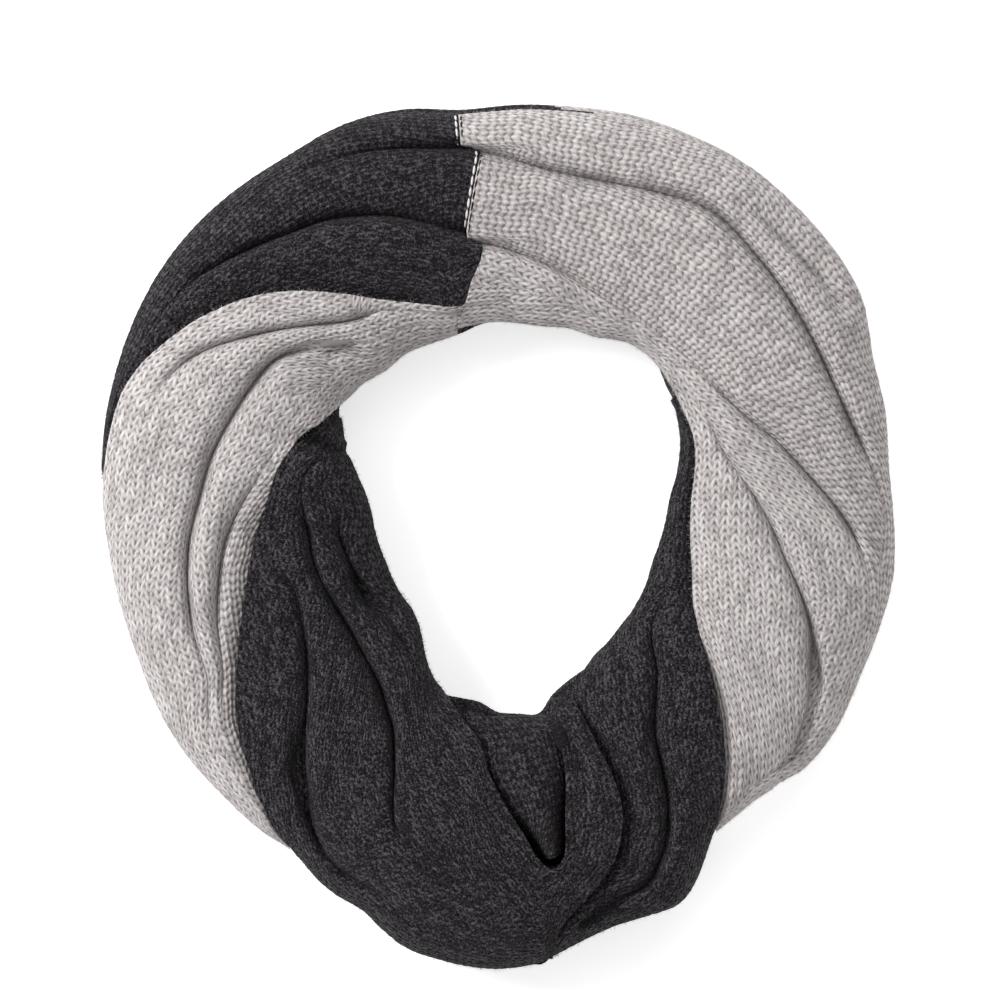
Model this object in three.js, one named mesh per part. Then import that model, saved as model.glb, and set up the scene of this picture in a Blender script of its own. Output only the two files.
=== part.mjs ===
// Two-tone infinity scarf, wound twice and lying flat in a ring.
// Millimetres, +Z up, the ring lies in XY and its underside rests at z = 0.
// Angles are degrees counterclockwise from +X about CENTRE, radii are taken from CENTRE.

import * as THREE from 'three';

// Cloth and ring sizes
const WALL = 3.0;
const GAP = 0.6;
const CENTRE = { x: 2.55, y: 5.9 };
const RIM_HEIGHT = 24;
const DOME_POWER = 2.3;
const SHOULDER = 13;
const SLOPE_UNDER = 24;
const HEM_DROP = 8;
const HEM_CURL = 2.6;
const HEM_TURNS = [90, 45];
const ROLL_STEPS = 6;
const WALL_SHARE = 0.4;
const FOLD_LIMIT = 24;
const MITRE = 1.35;
const STEP = 4;

// Joining seam of the two panels: its distance from CENTRE along X, the angle at its rim end
// and at the flap's corner, and how far along the cloth its slant fades
const SEAM = { x: -16.2, at: 95.6, corner: 100.7, fade: 16, slit: 0.2 };

// Hidden layers: sizes of the two lower layers whose edges show below the top cloth
const CORE = { step: 6, clear: 0.7, reachAt: 8, reach: 12, inset: 2, layers: 2, layerHeight: 7, lip: 3.2 };

// Colours of the two yarns
const LIGHT = 0xc6c1be;
const CHARCOAL = 0x343036;

const table = (names, rows) => {
  const keys = names.split(' ');
  return rows.map((row) => Object.fromEntries(keys.map((key, i) => [key, row[i]])));
};

// Ring sections: outline radius, hole radius, crest height, how far the lower layers stand past the rim
const RING = table('at rim hole high under', [
  [0, 155.6, 64.0, 47, -2.5],
  [8, 155.2, 66.4, 47, -2.5],
  [16, 158.4, 71.4, 47, -3],
  [24, 161.2, 76.4, 48, -3],
  [32, 168.4, 80.6, 48, -3],
  [40, 170.8, 82.8, 48, -3],
  [48, 171.6, 87.0, 48, -2.5],
  [56, 172.2, 86.0, 47, 0.6],
  [64, 169.8, 81.6, 46, 2.2],
  [72, 168.2, 80.8, 45, 2.8],
  [80, 166.0, 78.8, 45, 2.8],
  [88, 164.6, 79.2, 45, 2.6],
  [96, 163.4, 78.0, 46, 2.6],
  [104, 168.4, 75.4, 47, 1.8],
  [112, 171.2, 75.8, 48, 0.4],
  [120, 170.0, 76.8, 49, -2],
  [128, 170.6, 76.0, 50, -2.5],
  [136, 171.0, 78.4, 51, -3],
  [144, 170.4, 79.6, 52, -3],
  [152, 168.6, 72.6, 52, -3],
  [160, 166.4, 64.0, 52, -3],
  [168, 164.2, 57.0, 52, -2.5],
  [176, 161.4, 53.2, 51, -2.5],
  [184, 159.0, 51.8, 50, -3],
  [192, 157.6, 50.8, 50, -3],
  [200, 156.8, 50.0, 49, -3],
  [208, 157.8, 50.2, 49, -3],
  [216, 158.2, 50.6, 49, -3],
  [224, 157.6, 51.0, 50, -3],
  [232, 157.8, 54.8, 50, -2.5],
  [238, 157.6, 60.6, 51, -2.5],
  [244, 163.2, 67.0, 52, -2.5],
  [250, 166.0, 71.8, 53, -3],
  [256, 174.4, 71.6, 54, -3],
  [262, 177.6, 71.8, 55, -3],
  [268, 179.2, 75.2, 56, -3],
  [274, 177.4, 76.0, 56, -3],
  [280, 171.2, 76.8, 55, -3],
  [285, 168.0, 71.0, 54, -3],
  [290, 168.0, 68.0, 53, -3],
  [295, 168.0, 66.4, 52, -3],
  [299, 160.8, 65.8, 52, -2.5],
  [303, 152.0, 65.0, 51, -2],
  [308, 150.0, 63.8, 50, -2],
  [313, 150.4, 62.8, 50, -2.5],
  [320, 155.2, 62.0, 49, -3],
  [328, 156.6, 62.0, 49, -3],
  [336, 155.2, 61.6, 48, -3],
  [344, 155.8, 61.0, 48, -2.5],
  [352, 157.0, 62.2, 47, -2.5],
]);

// Front light stretch: radii and depths of the roll crease, the turned selvage and the flap's own fold
const FRONT_LIGHT = table('at roll rollDeep selvage selvageDeep flap flapDeep inner sink', [
  [-56, 149.8, 0, 149.2, 0, 148.6, 0, 149.6, 6],
  [-48, 148.8, 0, 147.2, 0, 144.6, 2, 130.4, 6],
  [-40, 153.8, 0, 152.4, 0, 147.6, 5, 110.0, 6],
  [-32, 154.6, 0, 152.8, 0, 143.6, 7, 92.8, 3],
  [-24, 153.6, 0, 150.6, 0, 135.4, 8, 82.0, 1.5],
  [-16, 154.0, 0, 150.4, 4, 124.4, 7, 77.4, 1],
  [-8, 151.0, 0, 146.0, 6, 112.8, 5, 74.4, 1],
  [0, 151.6, 3, 136.0, 6, 104.8, 5, 73.6, 1],
  [8, 148.0, 6, 123.2, 6, 97.6, 4, 75.0, 1],
  [16, 143.4, 7, 113.0, 5, 91.6, 3, 78.6, 1],
  [24, 141.8, 8, 104.0, 5, 90.0, 2, 82.0, 1],
  [32, 142.4, 8, 99.2, 5, 90.6, 0, 83.4, 1],
  [40, 144.0, 8, 97.2, 5, 90.6, 0, 85.2, 0.5],
  [48, 146.2, 9, 96.0, 5, 91.2, 0, 87.0, 0],
  [56, 148.8, 10, 95.6, 5, 90.6, 0, 86.0, 0],
  [64, 145.2, 10, 96.0, 5, 88.6, 0, 81.6, 0],
  [72, 141.6, 10, 98.8, 5, 89.6, 0, 80.8, 0],
  [80, 140.6, 10, 102.8, 5, 90.6, 0, 78.8, 0],
  [88, 143.4, 8, 106.8, 6, 93.0, 0, 79.2, 0],
  [96.5, 149.0, 7, 112.2, 6, 93.6, 0, 77.9, 0],
]);

// Front dark stretch: radii and depths of its two creases, and its lower edge under the back light
const FRONT_DARK = table('at roll rollDeep second secondDeep inner sink', [
  [96.5, 149.6, 6, 116.0, 7, 87.2, 0.5],
  [104, 153.4, 5, 123.0, 7, 87.8, 3],
  [112, 158.0, 3, 131.2, 7, 93.4, 7],
  [120, 161.0, 1, 138.8, 7, 102.0, 8],
  [128, 162.4, 0, 144.0, 6, 115.6, 8],
  [136, 162.6, 0, 151.0, 5, 130.4, 7],
  [144, 164.4, 0, 157.6, 3, 142.4, 6],
  [152, 164.4, 0, 160.4, 1, 152.4, 4],
  [160, 164.6, 0, 162.6, 0, 160.4, 2],
  [168, 163.2, 0, 162.2, 0, 161.2, 1],
]);

// Back light stretch: outer edge over the front dark, then the rim; three creases; inner edge
const BACK_LIGHT = table('at outer lift upper upperDeep main mainDeep purl purlDeep inner sink', [
  [101, 87.2, 0.5, 84.6, 0, 81.8, 0, 78.8, 0, 75.8, 0],
  [104, 87.8, 0.5, 84.8, 0, 81.6, 0, 78.6, 0, 75.4, 0],
  [112, 93.4, 1, 89.6, 0, 85.0, 0, 80.4, 0, 75.8, 0],
  [120, 102.0, 1, 96.6, 4, 87.0, 0, 81.8, 0, 76.8, 0],
  [128, 115.6, 1, 101.0, 7, 89.6, 0, 82.4, 0, 76.0, 0],
  [136, 130.4, 1, 111.6, 7, 100.0, 2, 88.4, 0, 78.4, 0],
  [144, 142.4, 1, 125.2, 6, 111.0, 8, 90.0, 0, 79.8, 0],
  [152, 152.4, 1, 140.0, 4, 114.0, 9, 91.6, 0, 83.0, 2],
  [160, 160.4, 0.5, 147.4, 1, 116.4, 9, 94.0, 0, 88.8, 3],
  [168, 161.2, 0, 146.4, 0, 119.6, 9, 97.2, 2, 92.6, 3],
  [176, 161.4, 0, 146.4, 0, 122.0, 9, 104.4, 4, 94.8, 5],
  [184, 159.0, 0, 145.6, 0, 126.0, 9, 111.2, 6, 99.6, 7],
  [192, 157.6, 0, 145.4, 0, 129.0, 9, 116.4, 6, 104.4, 8],
  [200, 156.8, 0, 146.0, 0, 131.6, 8, 121.6, 5, 111.2, 8],
  [208, 157.8, 0, 148.0, 0, 133.8, 6, 127.0, 2, 120.6, 8],
  [216, 158.2, 0, 151.4, 0, 144.6, 0, 138.0, 0, 132.0, 7],
  [224, 157.6, 0, 153.4, 0, 149.2, 0, 145.4, 0, 141.6, 5],
  [232, 157.8, 0, 156.0, 0, 154.6, 0, 153.2, 0, 151.6, 3],
]);

// Lower dark stretch, first part: outer edge over the back light, creases, hole edge
const LOWER_DARK = table('at outer lift outerFold outerDeep midFold midDeep innerFold innerDeep', [
  [148, 81.2, 3, 80.2, 0, 79.0, 0, 77.8, 0],
  [152, 83.0, 3, 80.4, 0, 77.8, 0, 75.2, 0],
  [160, 88.8, 3, 83.6, 0, 77.4, 0, 70.6, 0],
  [168, 92.6, 3, 88.0, 0, 82.0, 4, 69.0, 0],
  [176, 94.8, 2, 89.0, 0, 81.0, 7, 66.4, 1],
  [184, 99.6, 1, 90.4, 0, 78.4, 8, 66.4, 4],
  [192, 104.4, 1, 90.0, 0, 78.0, 9, 64.6, 6],
  [200, 111.2, 1, 88.0, 3, 76.6, 9, 63.4, 6],
  [208, 120.6, 1, 91.0, 5, 75.4, 9, 62.2, 6],
  [216, 132.0, 1, 97.6, 7, 75.4, 9, 60.8, 5],
  [224, 141.6, 1, 110.0, 7, 77.4, 9, 61.4, 4],
  [232, 151.6, 0.5, 132.0, 7, 81.6, 9, 63.4, 3],
  [238, 157.6, 0, 145.0, 6, 88.4, 9, 68.0, 1],
  [244, 163.2, 0, 153.4, 5, 100.0, 8, 78.0, 0],
  [250, 166.0, 0, 156.0, 2, 128.0, 4, 92.0, 0],
]);

// Turning edge of the lower dark stretch: over the tongue, round the hollow, up to the hole
const TURN_EDGE = table('x y', [
  [-21.0, -62.6],
  [-13.8, -73.0],
  [-7.2, -81.8],
  [-3.6, -94.0],
  [3.8, -108.2],
  [9.8, -117.6],
  [15.2, -127.0],
  [21.4, -132.0],
  [26.4, -125.0],
  [26.2, -107.0],
  [25.8, -87.0],
  [20.6, -71.4],
]);

// Fold between the turning band and the right dark stretch, from the rim up to the hole
const KNOT_FOLD = table('x y', [
  [19.6, -170.2],
  [25.6, -155.0],
  [34.6, -145.0],
  [42.0, -136.2],
  [46.6, -127.8],
  [49.0, -117.4],
  [49.0, -107.0],
  [45.0, -93.8],
  [37.0, -78.2],
  [29.4, -63.6],
]);

// Turn sections: angle on the rim or place on the fold, with the matching place on the turning edge
const TURN = table('rimAt fold edge', [
  [253, 0, 0.4],
  [257, 0, 1],
  [261, 0, 2],
  [264, 0, 3],
  [267, 0, 4],
  [270, 0, 5],
  [273, 0, 5.7],
  [null, 0, 6.2],
  [null, 1, 6.5],
  [null, 2, 6.8],
  [null, 3, 7.1],
  [null, 4, 7.5],
  [null, 5, 8],
  [null, 6, 8.8],
  [null, 7, 9.6],
  [null, 8, 10.4],
  [null, 9, 11],
]);

// Tongue sections: places on the two sides of the turning edge, and how deep the cloth lies
const TONGUE = table('left right deep', [
  [0.9, 11, 5],
  [2, 10.6, 5],
  [3, 10, 6],
  [4, 9.4, 8.5],
  [4.9, 9, 13],
  [5.4, 8.6, 20],
  [5.9, 8.2, 27],
  [6.3, 7.9, 31],
]);

// Right dark stretch: outer end by angle, inner end on the knot fold or the hole, and its long crease
const RIGHT_DARK = table('at fold holeAt share deep lift sink', [
  [277, 0.5, null, 0.5, 0, 0, 1],
  [280, 1, null, 0.5, 0, 0, 3],
  [285, 2, null, 0.5, 2, 0, 5],
  [290, 3, null, 0.5, 4, 0, 7],
  [294, 4, null, 0.48, 6, 0, 8],
  [297, 5, null, 0.48, 7, 0, 8],
  [300, 6, null, 0.46, 8, 0, 8],
  [304, 7, null, 0.46, 8, 0.5, 8],
  [308, 8, null, 0.46, 8, 1, 7],
  [312, 9, null, 0.46, 7, 1, 3],
  [316, null, 301, 0.5, 6, 1, 0],
  [320, null, 310, 0.55, 5, 1, 0],
  [324, null, 318, 0.66, 4, 1, 0],
  [328, null, 325, 0.7, 2, 2, 0],
  [336, null, 335, 0.6, 0, 5, 0],
  [344, null, 344, 0.5, 0, 6, 0],
  [352, null, 352, 0.5, 0, 6, 0],
  [360, null, 360, 0.5, 0, 6, 0],
  [368, null, 368, 0.5, 0, 5, 0],
  [376, null, 376, 0.5, 0, 4, 0],
  [384, null, 384, 0.5, 0, 3, 0],
  [392, null, 392, 0.5, 0, 1, 0],
  [396, null, 396, 0.5, 0, 1, 0],
]);

const rad = THREE.MathUtils.degToRad;
const mix = THREE.MathUtils.lerp;
const clamp = THREE.MathUtils.clamp;

// Smooth value through the rows of a table; a closed table repeats every turn
function through(rows, key, column, closed = false) {
  const turn = 360;
  const last = rows.length - 1;
  const row = (i) => {
    if (!closed) return { at: rows[clamp(i, 0, last)][key], value: rows[clamp(i, 0, last)][column] };
    const lap = Math.floor(i / rows.length);
    const found = rows[i - lap * rows.length];
    return { at: found[key] + lap * turn, value: found[column] };
  };
  const slope = (i) => {
    const before = row(i - 1);
    const after = row(i + 1);
    return after.at === before.at ? 0 : (after.value - before.value) / (after.at - before.at);
  };
  return (position) => {
    const at = closed ? THREE.MathUtils.euclideanModulo(position, turn) : position;
    let i = rows.findIndex((entry) => entry[key] > at) - 1;
    if (i < 0) i = closed || at >= rows[last][key] ? last : 0;
    if (!closed) i = Math.min(i, last - 1);
    const start = closed && at < rows[0][key] ? row(-1) : row(i);
    const index = closed && at < rows[0][key] ? -1 : i;
    const end = row(index + 1);
    const length = end.at - start.at;
    const t = clamp((at - start.at) / length, 0, 1);
    const t2 = t * t;
    const t3 = t2 * t;
    return (
      (2 * t3 - 3 * t2 + 1) * start.value +
      (t3 - 2 * t2 + t) * length * slope(index) +
      (3 * t2 - 2 * t3) * end.value +
      (t3 - t2) * length * slope(index + 1)
    );
  };
}

// Plan curve through rows of x and y, by row number
function planCurve(rows) {
  const numbered = rows.map((row, i) => ({ ...row, i }));
  const x = through(numbered, 'i', 'x');
  const y = through(numbered, 'i', 'y');
  return (i) => ({ x: x(i), y: y(i) });
}

const rimAt = through(RING, 'at', 'rim', true);
const holeAt = through(RING, 'at', 'hole', true);
const highAt = through(RING, 'at', 'high', true);
const underAt = through(RING, 'at', 'under', true);
const turnEdge = planCurve(TURN_EDGE);
const knotFold = planCurve(KNOT_FOLD);

const polar = (at, radius) => ({
  x: CENTRE.x + radius * Math.cos(rad(at)),
  y: CENTRE.y + radius * Math.sin(rad(at)),
});

// Crest surface of the whole ring at a plan point
function dome(point) {
  const dx = point.x - CENTRE.x;
  const dy = point.y - CENTRE.y;
  const at = THREE.MathUtils.radToDeg(Math.atan2(dy, dx));
  const hole = holeAt(at);
  const share = clamp((Math.hypot(dx, dy) - hole) / (rimAt(at) - hole), 0, 1);
  const round = 1 - Math.abs(2 * share - 1) ** DOME_POWER;
  return RIM_HEIGHT + (highAt(at) - RIM_HEIGHT) * round ** (1 / DOME_POWER);
}

// Rounded shoulder of a crease: 1 on its line, 0 at its reach
function shoulder(distance, reach) {
  const share = clamp(distance / reach, 0, 1);
  return 1 - Math.sqrt(1 - (1 - share) ** 2);
}

// Soft slope of cloth that runs in under a neighbour
function slopeUnder(distance, reach) {
  const share = clamp(distance / reach, 0, 1);
  return (1 - share) ** 2;
}

// One section of a stretch, from its outer end to its inner end, as outer and inner wall points.
// folds: share across and depth of each crease; ends: how deep each end lies.
function section(out, inn, folds, ends) {
  const raw = Math.hypot(inn.x - out.x, inn.y - out.y);
  const span = raw - GAP;
  const dir = { x: (inn.x - out.x) / raw, y: (inn.y - out.y) / raw };
  const start = { x: out.x + (dir.x * GAP) / 2, y: out.y + (dir.y * GAP) / 2 };
  const wall = Math.min(WALL, WALL_SHARE * span);
  const stops = [0, ...folds.map((fold) => fold.share * span), span];
  const widths = stops.slice(1).map((stop, i) => stop - stops[i]);
  const depths = folds.map((fold, i) =>
    Math.min(fold.deep, Math.min(widths[i], widths[i + 1]) ** 2 / FOLD_LIMIT));
  const height = (across) => {
    const place = { x: start.x + dir.x * across, y: start.y + dir.y * across };
    let z = dome(place);
    depths.forEach((deep, i) => {
      const side = across < stops[i + 1] ? widths[i] : widths[i + 1];
      z -= deep * shoulder(Math.abs(across - stops[i + 1]), Math.min(SHOULDER, side / 2));
    });
    z -= ends.out * slopeUnder(across, Math.min(SLOPE_UNDER, span / 2));
    z -= ends.inn * slopeUnder(span - across, Math.min(SLOPE_UNDER, span / 2));
    return z;
  };
  const line = [];
  const scale = Math.min(1, span / (3 * WALL));
  const hem = (across, sign) => HEM_TURNS.map((turn) => ({
    w: across + sign * HEM_CURL * scale * (1 - Math.cos(rad(turn))),
    z: height(across) - HEM_DROP * Math.sin(rad(turn)),
  }));
  line.push(...hem(0, 1));
  widths.forEach((width, i) => {
    for (let j = i === 0 ? 0 : 1; j <= ROLL_STEPS; j += 1) {
      const across = stops[i] + (width * (1 - Math.cos((Math.PI * j) / ROLL_STEPS))) / 2;
      line.push({ w: across, z: height(across) });
    }
  });
  line.push(...hem(span, -1).reverse());
  const last = line.length - 1;
  const hems = HEM_TURNS.length;
  const inside = line.map((point, i) => {
    const before = line[Math.max(i - 1, 0)];
    const after = line[Math.min(i + 1, last)];
    const a = new THREE.Vector2(point.w - before.w, point.z - before.z).normalize();
    const b = new THREE.Vector2(after.w - point.w, after.z - point.z).normalize();
    const along = a.clone().add(b).normalize();
    const used = i === 0 ? b : a;
    const stretch = Math.min(MITRE, 1 / Math.max(0.2, along.dot(used)));
    return { w: point.w + along.y * wall * stretch, z: point.z - along.x * wall * stretch };
  }).filter((point, i) => i < hems || i > last - hems || (i - hems) % 2 === 0);
  const loop = [...line, ...inside.reverse()];
  return {
    ring: loop.map(({ w, z }) => new THREE.Vector3(start.x + dir.x * w, start.y + dir.y * w, z)),
    outer: line.length,
  };
}

// End face of a stretch, as triangles between its outer wall points and its inner ones
function endFace({ ring, outer }) {
  const faces = [];
  const steps = ring.length - 1 - outer;
  let i = 0;
  let j = ring.length - 1;
  while (i < outer - 1 || j > outer) {
    const outerLeft = (outer - 1 - i) / (outer - 1);
    const innerLeft = (j - outer) / steps;
    if (outerLeft >= innerLeft) {
      faces.push([i, i + 1, j]);
      i += 1;
    } else {
      faces.push([j - 1, j, i]);
      j -= 1;
    }
  }
  return faces;
}

// Closed body through sections of equal point count
function loft(sections, closed = false) {
  const count = sections[0].ring.length;
  const positions = sections.flatMap(({ ring }) => ring.flatMap((point) => [point.x, point.y, point.z]));
  const faces = [];
  const last = closed ? sections.length : sections.length - 1;
  for (let i = 0; i < last; i += 1) {
    const here = i * count;
    const next = ((i + 1) % sections.length) * count;
    for (let j = 0; j < count; j += 1) {
      const k = (j + 1) % count;
      faces.push(here + j, next + j, next + k, here + j, next + k, here + k);
    }
  }
  if (!closed) {
    const end = (sections.length - 1) * count;
    endFace(sections[0]).forEach(([a, b, c]) => faces.push(a, b, c));
    endFace(sections[sections.length - 1]).forEach(([a, b, c]) => faces.push(end + a, end + c, end + b));
  }
  const geometry = new THREE.BufferGeometry();
  geometry.setAttribute('position', new THREE.Float32BufferAttribute(positions, 3));
  geometry.setIndex(faces);
  return outward(geometry);
}

// Turns the faces outward when the body's signed volume is negative
function outward(geometry) {
  const index = geometry.getIndex().array;
  const at = geometry.getAttribute('position');
  const corner = (i) => new THREE.Vector3().fromBufferAttribute(at, i);
  let volume = 0;
  for (let i = 0; i < index.length; i += 3) {
    volume += corner(index[i]).dot(corner(index[i + 1]).cross(corner(index[i + 2])));
  }
  if (volume < 0) {
    for (let i = 0; i < index.length; i += 3) [index[i + 1], index[i + 2]] = [index[i + 2], index[i + 1]];
  }
  geometry.computeVertexNormals();
  return geometry;
}

// Angles from one section to another at about STEP degrees
function steps(from, to) {
  const count = Math.round((to - from) / STEP);
  return Array.from({ length: count + 1 }, (_, i) => mix(from, to, i / count));
}

// Angle of the seam line at a radius
const seamAngle = (radius) => THREE.MathUtils.radToDeg(Math.acos(SEAM.x / radius));

// Section of a ring stretch at an angle, with its ends and creases given as radii.
// seam: angle at which the stretch meets the joining seam, and the side it lies on
function radial(at, outer, inner, folds, ends, seam) {
  const near = seam ? clamp(1 - Math.abs(at - seam.at) / SEAM.fade, 0, 1) : 0;
  const slant = (seamAngle(inner) - seamAngle(outer)) * near;
  const slit = (radius) => (seam ? THREE.MathUtils.radToDeg((seam.side * SEAM.slit) / radius) : 0);
  const out = polar(at + slit(outer), outer);
  const inn = polar(at + slit(inner) + slant, inner);
  const shares = folds.map(({ radius, deep }) => ({ share: (outer - radius) / (outer - inner), deep }));
  return section(out, inn, shares, ends);
}

function frontLight() {
  const line = (column) => through(FRONT_LIGHT, 'at', column);
  const [roll, rollDeep, selvage, selvageDeep] = ['roll', 'rollDeep', 'selvage', 'selvageDeep'].map(line);
  const [flap, flapDeep, inner, sink] = ['flap', 'flapDeep', 'inner', 'sink'].map(line);
  return steps(-54, SEAM.at).map((at) => radial(at, rimAt(at), inner(at), [
    { radius: roll(at), deep: rollDeep(at) },
    { radius: selvage(at), deep: selvageDeep(at) },
    { radius: flap(at), deep: flapDeep(at) },
  ], { out: 0, inn: sink(at) }, { at: SEAM.at, side: -1 }));
}

function frontDark() {
  const line = (column) => through(FRONT_DARK, 'at', column);
  const [roll, rollDeep, second, secondDeep] = ['roll', 'rollDeep', 'second', 'secondDeep'].map(line);
  const [inner, sink] = ['inner', 'sink'].map(line);
  return steps(SEAM.at, 168).map((at) => {
    const near = clamp(1 - (at - SEAM.at) / SEAM.fade, 0, 1);
    const edge = inner(at + (SEAM.corner - SEAM.at) * near);
    return radial(at, rimAt(at), edge, [
      { radius: roll(at), deep: rollDeep(at) },
      { radius: second(at), deep: secondDeep(at) },
    ], { out: 0, inn: sink(at) }, { at: SEAM.at, side: 1 });
  });
}

function backLight() {
  const line = (column) => through(BACK_LIGHT, 'at', column);
  const [outer, lift, upper, upperDeep] = ['outer', 'lift', 'upper', 'upperDeep'].map(line);
  const [main, mainDeep, purl, purlDeep] = ['main', 'mainDeep', 'purl', 'purlDeep'].map(line);
  const [inner, sink] = ['inner', 'sink'].map(line);
  return steps(SEAM.corner + 0.2, 232).map((at) => radial(at, outer(at), inner(at), [
    { radius: upper(at), deep: upperDeep(at) },
    { radius: main(at), deep: mainDeep(at) },
    { radius: purl(at), deep: purlDeep(at) },
  ], { out: lift(at), inn: sink(at) }, { at: SEAM.corner, side: 1 }));
}

function lowerDark() {
  const line = (column) => through(LOWER_DARK, 'at', column);
  const [outer, lift, outerFold, outerDeep] = ['outer', 'lift', 'outerFold', 'outerDeep'].map(line);
  const [midFold, midDeep, innerFold, innerDeep] = ['midFold', 'midDeep', 'innerFold', 'innerDeep'].map(line);
  const ring = steps(148, 250).map((at) => radial(at, outer(at), holeAt(at), [
    { radius: outerFold(at), deep: outerDeep(at) },
    { radius: midFold(at), deep: midDeep(at) },
    { radius: innerFold(at), deep: innerDeep(at) },
  ], { out: lift(at), inn: 0 }, null));
  const turn = TURN.map((row) => {
    const out = row.rimAt === null ? knotFold(row.fold) : polar(row.rimAt, rimAt(row.rimAt));
    const even = [0.25, 0.5, 0.75].map((share) => ({ share, deep: 0 }));
    return section(out, turnEdge(row.edge), even, { out: row.rimAt === null ? 1 : 0, inn: 1 });
  });
  return [...ring, ...turn];
}

function rightDark() {
  const edge = through(FRONT_LIGHT, 'at', 'inner');
  return RIGHT_DARK.map((row) => {
    const outer = row.at > 303 ? edge(row.at - 360) : rimAt(row.at);
    const inn = row.fold === null ? polar(row.holeAt, holeAt(row.holeAt)) : knotFold(row.fold);
    return section(polar(row.at, outer), inn, [{ share: row.share, deep: row.deep }],
      { out: row.lift, inn: row.sink });
  });
}

function tongue() {
  return TONGUE.map((row) => {
    const ends = { out: row.deep, inn: row.deep };
    return section(turnEdge(row.left), turnEdge(row.right), [], ends);
  });
}

// Hidden layers: flat underside, two layer edges at each side, top just under the cloth above it
function hiddenLayers(above) {
  const rings = above.flatMap((sections) => sections.map(({ ring }) => ring));
  const dense = rings.flatMap((ring) => ring.flatMap((point, i) => {
    const next = ring[(i + 1) % ring.length];
    return [0, 1 / 3, 2 / 3].map((share) => point.clone().lerp(next, share));
  }));
  const points = dense.map((point) => {
    const dx = point.x - CENTRE.x;
    const dy = point.y - CENTRE.y;
    return { at: THREE.MathUtils.radToDeg(Math.atan2(dy, dx)), radius: Math.hypot(dx, dy), z: point.z };
  });
  const ceiling = (at, radius) => {
    const near = points.filter((point) => {
      const turn = THREE.MathUtils.euclideanModulo(point.at - at + 180, 360) - 180;
      return Math.abs(turn) < CORE.reachAt && Math.abs(point.radius - radius) < CORE.reach;
    });
    return Math.min(...near.map((point) => point.z)) - CORE.clear;
  };
  const edge = (radius, sign) => {
    const line = [];
    for (let layer = 0; layer < CORE.layers; layer += 1) {
      for (const share of [0, 0.25, 0.5, 0.75]) {
        const bulge = Math.sin(Math.PI * share) * CORE.lip;
        line.push({ radius: radius + sign * (bulge - CORE.lip), z: (layer + share) * CORE.layerHeight });
      }
    }
    line.push({ radius: radius - sign * CORE.lip, z: CORE.layers * CORE.layerHeight });
    return line;
  };
  const count = 360 / CORE.step;
  return Array.from({ length: count }, (_, i) => {
    const at = i * CORE.step;
    const outer = rimAt(at) + underAt(at);
    const inner = holeAt(at) + CORE.inset;
    const shares = [0.12, 0.24, 0.38, 0.5, 0.62, 0.76, 0.88];
    const top = shares.map((share) => {
      const radius = mix(outer, inner, share);
      return { radius, z: Math.max(ceiling(at, radius), CORE.layers * CORE.layerHeight) };
    });
    const line = [...edge(outer, 1), ...top, ...edge(inner, -1).reverse()];
    const ring = line.map(({ radius, z }) => {
      const spot = polar(at, radius);
      return new THREE.Vector3(spot.x, spot.y, z);
    });
    return { ring };
  });
}

function stretch(name, geometry, colour) {
  const material = new THREE.MeshStandardMaterial({ color: colour, roughness: 0.95, metalness: 0 });
  material.name = `${name}_knit`;
  const mesh = new THREE.Mesh(geometry, material);
  mesh.name = name;
  return mesh;
}

const light = frontLight();
const dark = frontDark();
const back = backLight();
const lower = lowerDark();
const right = rightDark();
const knot = tongue();
const hidden = hiddenLayers([light, dark, back, lower, right, knot]);

const scarf = new THREE.Group();
scarf.name = 'infinity_scarf';
scarf.add(stretch('front_light', loft(light), LIGHT));
scarf.add(stretch('front_dark', loft(dark), CHARCOAL));
scarf.add(stretch('back_light', loft(back), LIGHT));
scarf.add(stretch('lower_dark', loft(lower), CHARCOAL));
scarf.add(stretch('right_dark', loft(right), CHARCOAL));
scarf.add(stretch('knot_tongue', loft(knot), CHARCOAL));
scarf.add(stretch('hidden_layers', loft(hidden, true), CHARCOAL));

export default scarf;
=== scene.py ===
"""Two-tone infinity scarf, wound twice and lying flat in a ring: knitted cloth, seam, fuzz and stage.

The shape tables are in millimetres and degrees, as in the part's own source. Angles run
counterclockwise from +X about CENTRE, and radii are taken from CENTRE. Meshes are made in metres.
"""

import math

import bpy
import numpy as np
from bpy.props import FloatProperty, PointerProperty, StringProperty
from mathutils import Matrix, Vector


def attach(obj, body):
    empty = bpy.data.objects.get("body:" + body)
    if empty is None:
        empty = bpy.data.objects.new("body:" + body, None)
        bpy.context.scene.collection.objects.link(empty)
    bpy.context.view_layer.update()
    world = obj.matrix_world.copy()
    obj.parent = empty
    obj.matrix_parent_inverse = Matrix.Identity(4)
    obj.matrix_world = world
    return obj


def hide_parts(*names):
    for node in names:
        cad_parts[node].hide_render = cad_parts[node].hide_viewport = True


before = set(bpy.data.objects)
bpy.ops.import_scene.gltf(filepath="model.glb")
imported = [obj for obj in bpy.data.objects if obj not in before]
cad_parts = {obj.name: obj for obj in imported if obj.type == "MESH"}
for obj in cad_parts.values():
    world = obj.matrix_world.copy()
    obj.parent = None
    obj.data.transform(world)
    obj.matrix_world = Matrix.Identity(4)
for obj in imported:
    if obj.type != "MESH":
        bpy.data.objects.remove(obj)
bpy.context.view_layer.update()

bl_info = {
    "name": "Infinity Scarf",
    "version": (1, 0, 0),
    "blender": (4, 5, 0),
    "location": "View3D > Sidebar > Scarf",
    "description": "Makes a knitted two-tone loop scarf that lies wound in a ring",
    "category": "Add Mesh",
}

MM = 0.001

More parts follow.
